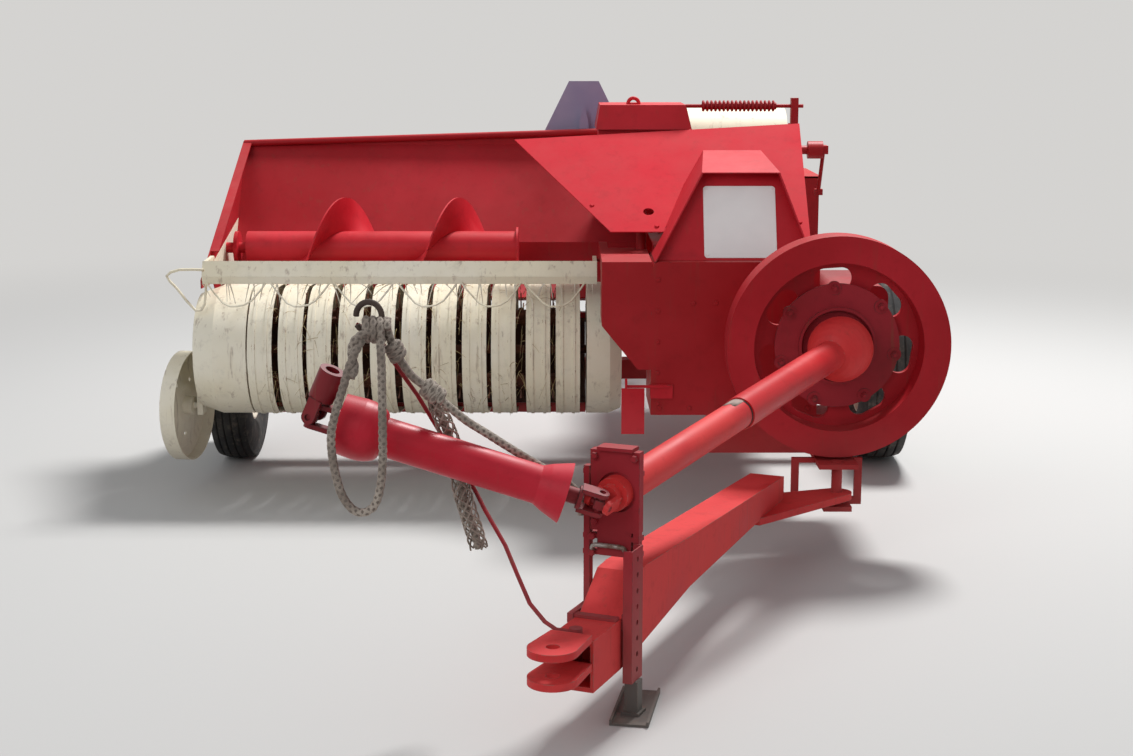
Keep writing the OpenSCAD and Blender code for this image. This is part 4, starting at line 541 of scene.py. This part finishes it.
# Tongue: a tapering beam welded from plate, with the clevis of the hitch at its nose. Its enamel is the most
# scuffed of all, chipped all along its edges, and a little lighter than the case's red as painted sunlight.
# A red a little lighter than the case's: painted sunlight on the tongue, with the wear of its chipped edges.
sunlit_tongue_red = enamel("sunlit_tongue_red", (0.55, 0.017, 0.022), (0.66, 0.045, 0.045), (0.24, 0.12, 0.10),
                    wear=0.75, rust=0.22, dust=0.08, gloss=0.5, low_dirt=0.1, shine=0.2)
dress(sunlit_tongue_red, "tongue_beam", "hitch_clevis")

# Drive line: two shield tubes that slide into each other, their red a little lighter than the case's as
# painted sunlight, the half shaft in its crimson guard, and forged yokes in a much darker red.
# The shield tubes' lighter red is painted sunlight on them.
sunlit_tube_red = enamel("scuffed_tube_red", (0.54, 0.014, 0.020), (0.66, 0.040, 0.038), (0.36, 0.19, 0.16),
                  wear=0.35, rust=0.12, dust=0.05, gloss=0.36)
shaft_red = enamel("shaft_crimson", (0.47, 0.008, 0.022), (0.56, 0.018, 0.038), (0.30, 0.12, 0.11),
                   wear=0.3, rust=0.1, dust=0.04, gloss=0.36)
# A much darker red for the forged yokes.
dark_yoke_red = enamel("dark_yoke_red", (0.17, 0.009, 0.014), (0.27, 0.022, 0.028), (0.045, 0.028, 0.026),
                    wear=0.8, rust=0.5, dust=0.05, gloss=0.38, shine=0.3)
dress(sunlit_tube_red, "drive_tube_front", "drive_tube_rear")
dress(shaft_red, "half_shaft")
dress(dark_yoke_red, "shaft_joint", "tractor_yoke")

# Worn patch on the front tube where it slides into the rear one: rubbed down to primer over part of the way
# round, with a dark ring at its start, painted as the shadow in the gap under the rear tube's lip.
tube_from, tube_to = spot(866, -1430, 676), spot(122, -2757, 548)
tube_way = (tube_to - tube_from) / np.linalg.norm(tube_to - tube_from)
tube_skin, film_skin, film_steps = 0.0430, 0.0437, 72
# name, metres from the flywheel, length, share of the way round, colour
film_rows = [("worn_primer", 0.7905, 0.058, 0.62, (0.30, 0.22, 0.185)),
             # The dark ring is a painted shadow: the shade in the gap at the rear tube's lip.
             ("lip_shadow_ring", 0.7902, 0.007, 1.0, (0.03, 0.02, 0.018))]
skew_way = (0.13, 0.98, 0.11)


def side_axes(path, aside=skew_way):
    """Two directions square to a path at each of its points: the cross product of the path's own direction
    with a fixed one, and the cross product of the path's own with that."""
    heading = np.gradient(path, axis=0)
    heading /= np.linalg.norm(heading, axis=1, keepdims=True)
    one = np.cross(heading, aside)
    one /= np.linalg.norm(one, axis=1, keepdims=True)
    return one, np.cross(heading, one)


def rubbed_film(name, start, long, share, colour):
    """A film on the tube: rows of circles about its axis over share of the way round. Where it doesn't go
    all the way, its length is ragged by a product of two sines of the angle."""
    side, other = side_axes(np.array([tube_from, tube_to]))
    angle = np.linspace(-np.pi, np.pi, film_steps + 1)[None, :-1] * share + np.pi * 0.5
    ragged = 1 + 0.25 * np.sin(3 * angle) * np.sin(7 * angle + 1) * (share < 1)
    outward = np.cos(angle)[..., None] * side[0] - np.sin(angle)[..., None] * other[0]
    rows = [tube_from + (start + long * end * ragged)[..., None] * tube_way + radius * outward
            for radius, end in ((tube_skin, 0), (film_skin, 0), (film_skin, 1), (tube_skin, 1))]
    faces = quads(4, film_steps, wrap_rows=True, wrap_cols=share == 1)
    paint = plain_paint(name + "_paint", colour, tuple(c * 0.8 for c in colour), 0.7)
    new_piece(name, np.concatenate(rows), faces, paint, "tongue")


for film_row in film_rows:
    rubbed_film(*film_row)

# Drive stand, jack, slip clutch, rope guide and gearbox: heavy plate and castings whose red is darkened,
# partly by grease and grime and partly as painted shade under the machine. Over-painted hex bolts hold the
# stand's head plate and cross plates. The jack's leg is black.
stand_from = np.array([122.0, -2757.0])
tongue_turn = math.radians(67.24)
stand_way = np.array([math.cos(tongue_turn), math.sin(tongue_turn)])
stand_side = np.array([-stand_way[1], stand_way[0]])
stand_bolts_at = [(-48, 636), (56, 636), (56, 470), (62, 391), (62, 432)]
# A dark red that is partly grime and partly painted shade.
grime_and_shade_red = enamel("grime_and_shade_red", (0.22, 0.007, 0.012), (0.33, 0.018, 0.028), (0.06, 0.03, 0.028),
                   wear=0.6, rust=0.45, dust=0.25, gloss=0.5, shine=0.25)
black_enamel = enamel("black_enamel", (0.025, 0.025, 0.028), (0.05, 0.05, 0.052), (0.16, 0.10, 0.07),
                      dust=0.95, low_dirt=0.5, rust=0.6)
dress(grime_and_shade_red, "drive_stand", "jack_channel", "slip_clutch", "rope_guide", "gearbox")
dress(black_enamel, "jack_leg")


def on_stand(x, y, z):
    """A point of the drive stand: x along the tongue, y across it, z above the ground, in millimetres."""
    flat = stand_from + x * stand_way + y * stand_side
    return spot(flat[0], flat[1], z)


bolt_heads("stand_bolts", [on_stand(-1, across, rise) for across, rise in stand_bolts_at],
           (-stand_way[0], -stand_way[1], 0), across=0.019, tall=0.011,
           material=grime_and_shade_red, body="tongue")

# Latch bar across the drive stand: a round steel bar 12 mm thick, bent cold, with both ends turned in and
# welded to the stand's plate.
bar_radius, bar_sides, bar_step = 0.006, 12, 0.003
bar_route = [(-2, -26, 396), (-9, -26, 404), (-11, -18, 412), (-11, 20, 413), (-11, 52, 412), (-9, 60, 404),
             (-2, 60, 396)]


def curve_through(points, spacing):
    """Even steps along a smooth curve through points, where each stretch is the cubic that its four
    neighbours give, and the way gone so far at each step."""
    p = np.vstack([2 * points[0] - points[1], points, 2 * points[-1] - points[-2]])
    t = np.linspace(0, 1, 24, endpoint=False)[None, :, None]
    a, b, c, d = (p[k:len(p) - 3 + k, None, :] for k in range(4))
    bend = 2 * a - 5 * b + 4 * c - d + t * (3 * (b - c) + d - a)
    fine = (b + 0.5 * t * (c - a + t * bend)).reshape(-1, 3)
    fine = np.vstack([fine, points[-1]])
    gone = np.concatenate([[0], np.cumsum(np.linalg.norm(np.diff(fine, axis=0), axis=1))])
    even = np.linspace(0, gone[-1], max(3, int(gone[-1] / spacing) + 1))
    return np.stack([np.interp(even, gone, fine[:, k]) for k in range(3)], -1), even


def tube(path, radius, around, aside=skew_way):
    """Points of a tube: at each point of the path, a circle in the two side axes, whose radius may vary."""
    one, other = side_axes(path, aside)
    turn = np.linspace(0, 2 * np.pi, around, endpoint=False)[None, :, None]
    reach = np.broadcast_to(radius, (len(path), around))[..., None]
    return path[:, None, :] + reach * (np.cos(turn) * one[:, None, :] + np.sin(turn) * other[:, None, :])


def closed_tube_faces(rows, around):
    """Quads along a tube and one many-sided face over each end."""
    ends = np.stack([np.arange(around)[::-1], (rows - 1) * around + np.arange(around)])
    return [quads(rows, around, wrap_cols=True), ends]


bar_path, _ = curve_through(np.array([on_stand(*at) for at in bar_route]), bar_step)
new_piece("latch_bar", tube(bar_path, bar_radius, bar_sides, (0.1, 0.05, 1)),
          closed_tube_faces(len(bar_path), bar_sides), bare_steel, "tongue")

# Rope: braided fibre about 18 mm thick, weathered grey. One length runs from the drive stand up to the eye
# of the bent rod and hangs in a loop before the half shaft, and a frayed end hangs behind it.
rope_width, rope_step, rope_sides = 0.018, 0.0035, 20
braid_lay, braid_strands, braid_relief = 0.054, 3, 0.16
rope_routes = {
    "rope_run": [(-419, -2861, 995), (-421, -2860, 974), (-412, -2852, 938), (-401, -2846, 909),
                 (-370, -2836, 856), (-330, -2830, 821), (-278, -2820, 772), (-237, -2815, 737),
                 (-195, -2810, 709), (-148, -2800, 676), (-106, -2786, 646), (-64, -2768, 616),
                 (-30, -2746, 590), (0, -2733, 566), (24, -2722, 542), (34, -2716, 520),
                 (36.2, -2715.4, 500), (36.2, -2715.4, 480)],
    "rope_loop": [(-463, -2877, 984), (-466, -2877, 962), (-482, -2903, 936), (-501, -2925, 894),
                  (-519, -2930, 836), (-538, -2930, 777), (-548, -2930, 723), (-544, -2926, 656),
                  (-529, -2922, 589), (-506, -2920, 551), (-480, -2920, 540), (-453, -2920, 555),
                  (-438, -2920, 595), (-430, -2925, 656), (-428, -2930, 717), (-428, -2925, 787),
                  (-429, -2915, 845), (-430, -2905, 896), (-434, -2886, 945), (-437, -2873, 968),
                  (-437, -2873, 984)],
    "rope_tail": [(-318, -2808.5, 816), (-315, -2807, 800), (-308, -2796, 765), (-297, -2778, 730),
                  (-288, -2768, 700), (-279, -2764, 672), (-271, -2764, 644), (-265, -2764, 616),
                  (-259, -2764, 585), (-255, -2764, 554), (-248, -2764, 528), (-241, -2764, 504),
                  (-234, -2766, 480), (-226, -2768, 455), (-220, -2770, 432), (-214, -2770, 410)],
}


def rope_material():
    """Weathered grey fibre, darker as painted shade in the hollows between the strands, where the strands'
    height is low.
    """
    paint = Paint("rope_braid")
    height = paint.node("Attribute", attribute_name="strand_height").outputs["Fac"]
    weathered = paint.blend(paint.ramp(paint.noise(14), 0.35, 0.7), (0.25, 0.20, 0.165), (0.45, 0.385, 0.325))
    # The darker colour in the hollows is painted shade.
    shade_in_hollows = paint.blend(paint.ramp(height, 0.40, -0.15), weathered, (0.175, 0.142, 0.118))
    specked = paint.blend(paint.ramp(paint.noise(420, 2), 0.5, 0.78), shade_in_hollows, (0.12, 0.10, 0.085))
    return paint.finish(specked, 0.92, paint.noise(900, 2), 0.5, 0.0006)


rope_braid = rope_material()


def keep_strand_height(rope, height):
    """Stores how high the strands stand at each point of a rope, for the material to read."""
    stored = rope.data.attributes.new("strand_height", "FLOAT", "POINT")
    stored.data.foreach_set("value", height.astype(np.float32).ravel())


def rope_piece(name, route, aside=skew_way):
    """A braid along a route: the radius grows with the higher of two sets of cosines of the turn, which wind
    round the rope in opposite senses."""
    path, gone = curve_through(route, rope_step)
    turn = np.linspace(0, 2 * np.pi, rope_sides, endpoint=False)[None, :]
    wind = gone[:, None] * 2 * np.pi / braid_lay
    bulge = np.maximum(np.cos(braid_strands * (turn - wind)), np.cos(braid_strands * (turn + wind)))
    points = tube(path, rope_width / 2 * (1.0 + braid_relief * bulge), rope_sides, aside)
    faces = closed_tube_faces(len(path), rope_sides)
    rope = new_piece(name, points, faces, rope_braid, "tongue")
    keep_strand_height(rope, bulge)
    return rope, path, gone[-1]


rope_lies = {name: rope_piece(name + "_braid", np.array([spot(*at) for at in route]))
             for name, route in rope_routes.items()}
for rope_name, (rope, _, _) in rope_lies.items():
    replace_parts(rope, rope_name)

# Hitches of the rope: round the bent rod's eye, round the run below it, and where the tail leaves the run.
# Each is the same rope wound tightly on itself.
# name, middle in millimetres, axis, half width, half depth, turns, length in millimetres
hitch_rows = [("eye_hitch", (-445, -2863, 966), (1, 0.05, -0.1), 23, 25, 3.2, 52),
              ("run_hitch", (-403, -2848, 914), (0.45, 0.2, -0.9), 14, 15, 2.6, 36),
              ("tail_hitch", (-319, -2820, 809), (0.74, 0.08, -0.66), 15, 16, 3.3, 46)]


def hitch(name, middle, axis, wide, deep, turns, long):
    """A rope wound as a flattened helix, wide and deep about an axis, over a length along that axis."""
    axis = np.asarray(axis, float) / np.linalg.norm(axis)
    one = np.cross(axis, [0.05, 1.0, 0.02])
    one /= np.linalg.norm(one)
    other = np.cross(axis, one)
    t = np.linspace(0, 1, int(turns * 12) + 1)[:, None]
    swing = 2 * np.pi * turns * t
    wound = axis * long * (t - 0.5) + wide * np.cos(swing) * one + deep * np.sin(swing) * other
    return rope_piece(name, spot(*middle) + wound / 1000, tuple(axis))[0]


eye_hitch, run_hitch, tail_hitch = (hitch(*hitch_row) for hitch_row in hitch_rows)

# Second strand of the rope: laid round the loop's left side, from the eye down to the half shaft, in a slow
# helix beside it.
strand_share, strand_beside, strand_lay = 0.155, 0.014, 0.13
loop_path = rope_lies["rope_loop"][1]
beside = loop_path[:int(len(loop_path) * strand_share)]
one, other = side_axes(beside)
twist = (2 * np.pi * np.arange(len(beside)) * rope_step / strand_lay)[:, None]
strand_route = beside + strand_beside * (np.cos(twist) * one + np.sin(twist) * other)
second_strand = rope_piece("second_strand", strand_route[::4])[0]

# Loosened tail of the rope: its strands open into a slack net wound both ways round it, and splay at its
# end. Each strand is a thin cord of its own.
net_strands, net_sides, net_radius = 10, 6, 0.0024
tail_path = rope_lies["rope_tail"][1]
one, other = side_axes(tail_path)
share = np.linspace(0, 1, len(tail_path))[:, None]
slack = 0.009 + 0.013 * np.sin(np.pi * share ** 0.8) ** 0.7 + 0.012 * share ** 5
net = []
for k in range(net_strands):
    sense = 1 if k % 2 == 0 else -1
    turns = 2.6 + 0.25 * math.sin(3 * k)
    around = k * 2 * np.pi / net_strands + sense * 2 * np.pi * share * turns
    out_of_line = np.cos(around) * one + np.sin(around) * other
    net.append(tube(tail_path + slack * out_of_line, net_radius, net_sides))
first_point = np.arange(net_strands)[:, None, None] * len(tail_path) * net_sides
net_faces = [(faces[None] + first_point).reshape(-1, faces.shape[1])
             for faces in closed_tube_faces(len(tail_path), net_sides)]
tail_net = new_piece("tail_net", np.concatenate(net), net_faces, rope_braid, "tongue")
keep_strand_height(tail_net, np.full(len(tail_net.data.vertices), 0.5))

# Binding of the eye: dark tarred cord wound tightly round the bent rod's ring, in turns 6 mm apart. It
# keeps the rope from chafing.
binding_radius, binding_relief, binding_lay, binding_sides = 0.0068, 0.0007, 0.006, 12
ring_x, ring_y, ring_z = -463, -2856, 996
ring_half_wide, ring_half_tall = 30.6, 34
ring_turn = np.radians(np.arange(-150, 181, 15))
ring_route = np.stack([ring_x + ring_half_wide * np.sin(ring_turn + np.pi / 2),
                       ring_y + np.degrees(ring_turn) / 15,
                       ring_z - ring_half_tall * np.cos(ring_turn + np.pi / 2)], -1) / 1000 + shift
ring_path, ring_gone = curve_through(ring_route, 0.002)
wound_radius = binding_radius + binding_relief * np.abs(np.sin(ring_gone * np.pi / binding_lay))[:, None]
tarred_cord = plain_paint("tarred_cord", (0.045, 0.028, 0.022), (0.085, 0.055, 0.04), 0.8)
new_piece("eye_binding", tube(ring_path, wound_radius, binding_sides, (0, 1, 0)),
          closed_tube_faces(len(ring_path), binding_sides), tarred_cord, "tongue")

# Straw: dry stalks left from the last bale, caught between the stripper bands. They lie loose in the gaps,
# with their tips just proud of the bands.
straw_count = 230
band_gaps = np.array([-1032.5, -927.5, -821, -708.5, -596.5, -488, -381, -275.5, -162.5, -48])
reel_at = np.array(pivots["reel_spin"])


def straw_colour(name, pale, brown):
    """Dry stalks or twine, from a pale colour to a brown one."""
    paint = Paint(name)
    shade = paint.blend(paint.ramp(paint.noise(30, 2), 0.35, 0.65), pale, brown)
    return paint.finish(shade, 0.8, paint.noise(300, 2), 0.2, 0.0005)


def stalks(name, roots, tips, droop, thickness, material, body):
    """Three-sided stalks of seven rings, tapered from root to tip: a straight line, which droop raises by
    four times t (1 - t) and lowers by twice t squared."""
    t = np.linspace(0, 1, 7)[None, :, None]
    line = roots[:, None, :] * (1 - t) + tips[:, None, :] * t
    line[..., 2] += droop[:, None] * (4 * t * (1 - t) - 2 * t ** 2)[..., 0]
    turn = np.linspace(0, 2 * np.pi, 3, endpoint=False)
    ring = np.stack([np.cos(turn), 0.3 * np.sin(turn), np.sin(turn)], -1)
    taper = (1 - 0.6 * t)[..., None] * thickness[:, None, None, None] / 2
    points = line[:, :, None, :] + ring[None, None] * taper
    first_point = np.arange(len(roots))[:, None, None] * 21
    sides = (quads(7, 3, wrap_cols=True)[None] + first_point).reshape(-1, 4)
    caps = (np.array([[2, 1, 0], [18, 19, 20]])[None] + first_point).reshape(-1, 3)
    return new_piece(name, points, [sides, caps], material, body)


def round_the_reel(x, reach, angle):
    """Points at a distance from the reel's axis, at an angle upwards from straight ahead of it."""
    return np.stack([x, reel_at[1] - reach * np.cos(angle), reel_at[2] + reach * np.sin(angle)], -1)


dice = np.random.default_rng(11)
angle = np.radians(dice.uniform(-35, 118, straw_count))
root_reach = dice.uniform(0.19, 0.232, straw_count)
tip_reach = dice.uniform(0.236, 0.262, straw_count)
root_x = (dice.choice(band_gaps, straw_count) + dice.normal(0, 9, straw_count)) / 1000 + shift[0]
tip_angle = angle + dice.uniform(-0.55, 0.2, straw_count)
tip_x = root_x + dice.normal(0, 0.035, straw_count)
roots = round_the_reel(root_x, root_reach, angle)
tips = round_the_reel(tip_x, tip_reach, tip_angle)
dry_straw = straw_colour("dry_straw", (0.52, 0.40, 0.19), (0.30, 0.20, 0.09))
straw_droop = dice.uniform(0, 0.012, straw_count)
straw_thick = dice.uniform(0.0014, 0.0032, straw_count)
stalks("straw_in_strips", roots, tips, straw_droop, straw_thick, dry_straw, "pickup")

# Twine ends: short pieces of pale baling twine knotted on the wind guard's lower edge. They hang down
# before the stripper bands.
twine_count = 44
edge_y, edge_z = -709, 791
pale_twine = straw_colour("pale_twine", (0.86, 0.82, 0.70), (0.70, 0.62, 0.48))
hang = dice.uniform(22, 78, twine_count)
edge_x = np.linspace(-1270, 90, twine_count) + dice.normal(0, 14, twine_count)
knots = np.stack([edge_x, np.full(twine_count, edge_y), np.full(twine_count, edge_z)], -1) / 1000 + shift
ends_x = edge_x + dice.normal(0, 26, twine_count)
ends = np.stack([ends_x, edge_y - 5 - 0.72 * hang, edge_z - hang], -1) / 1000 + shift
twine_droop = dice.uniform(0, 0.006, twine_count)
twine_thick = dice.uniform(0.0046, 0.0068, twine_count)
stalks("twine_ends", knots, ends, twine_droop, twine_thick, pale_twine, "wind_guard")
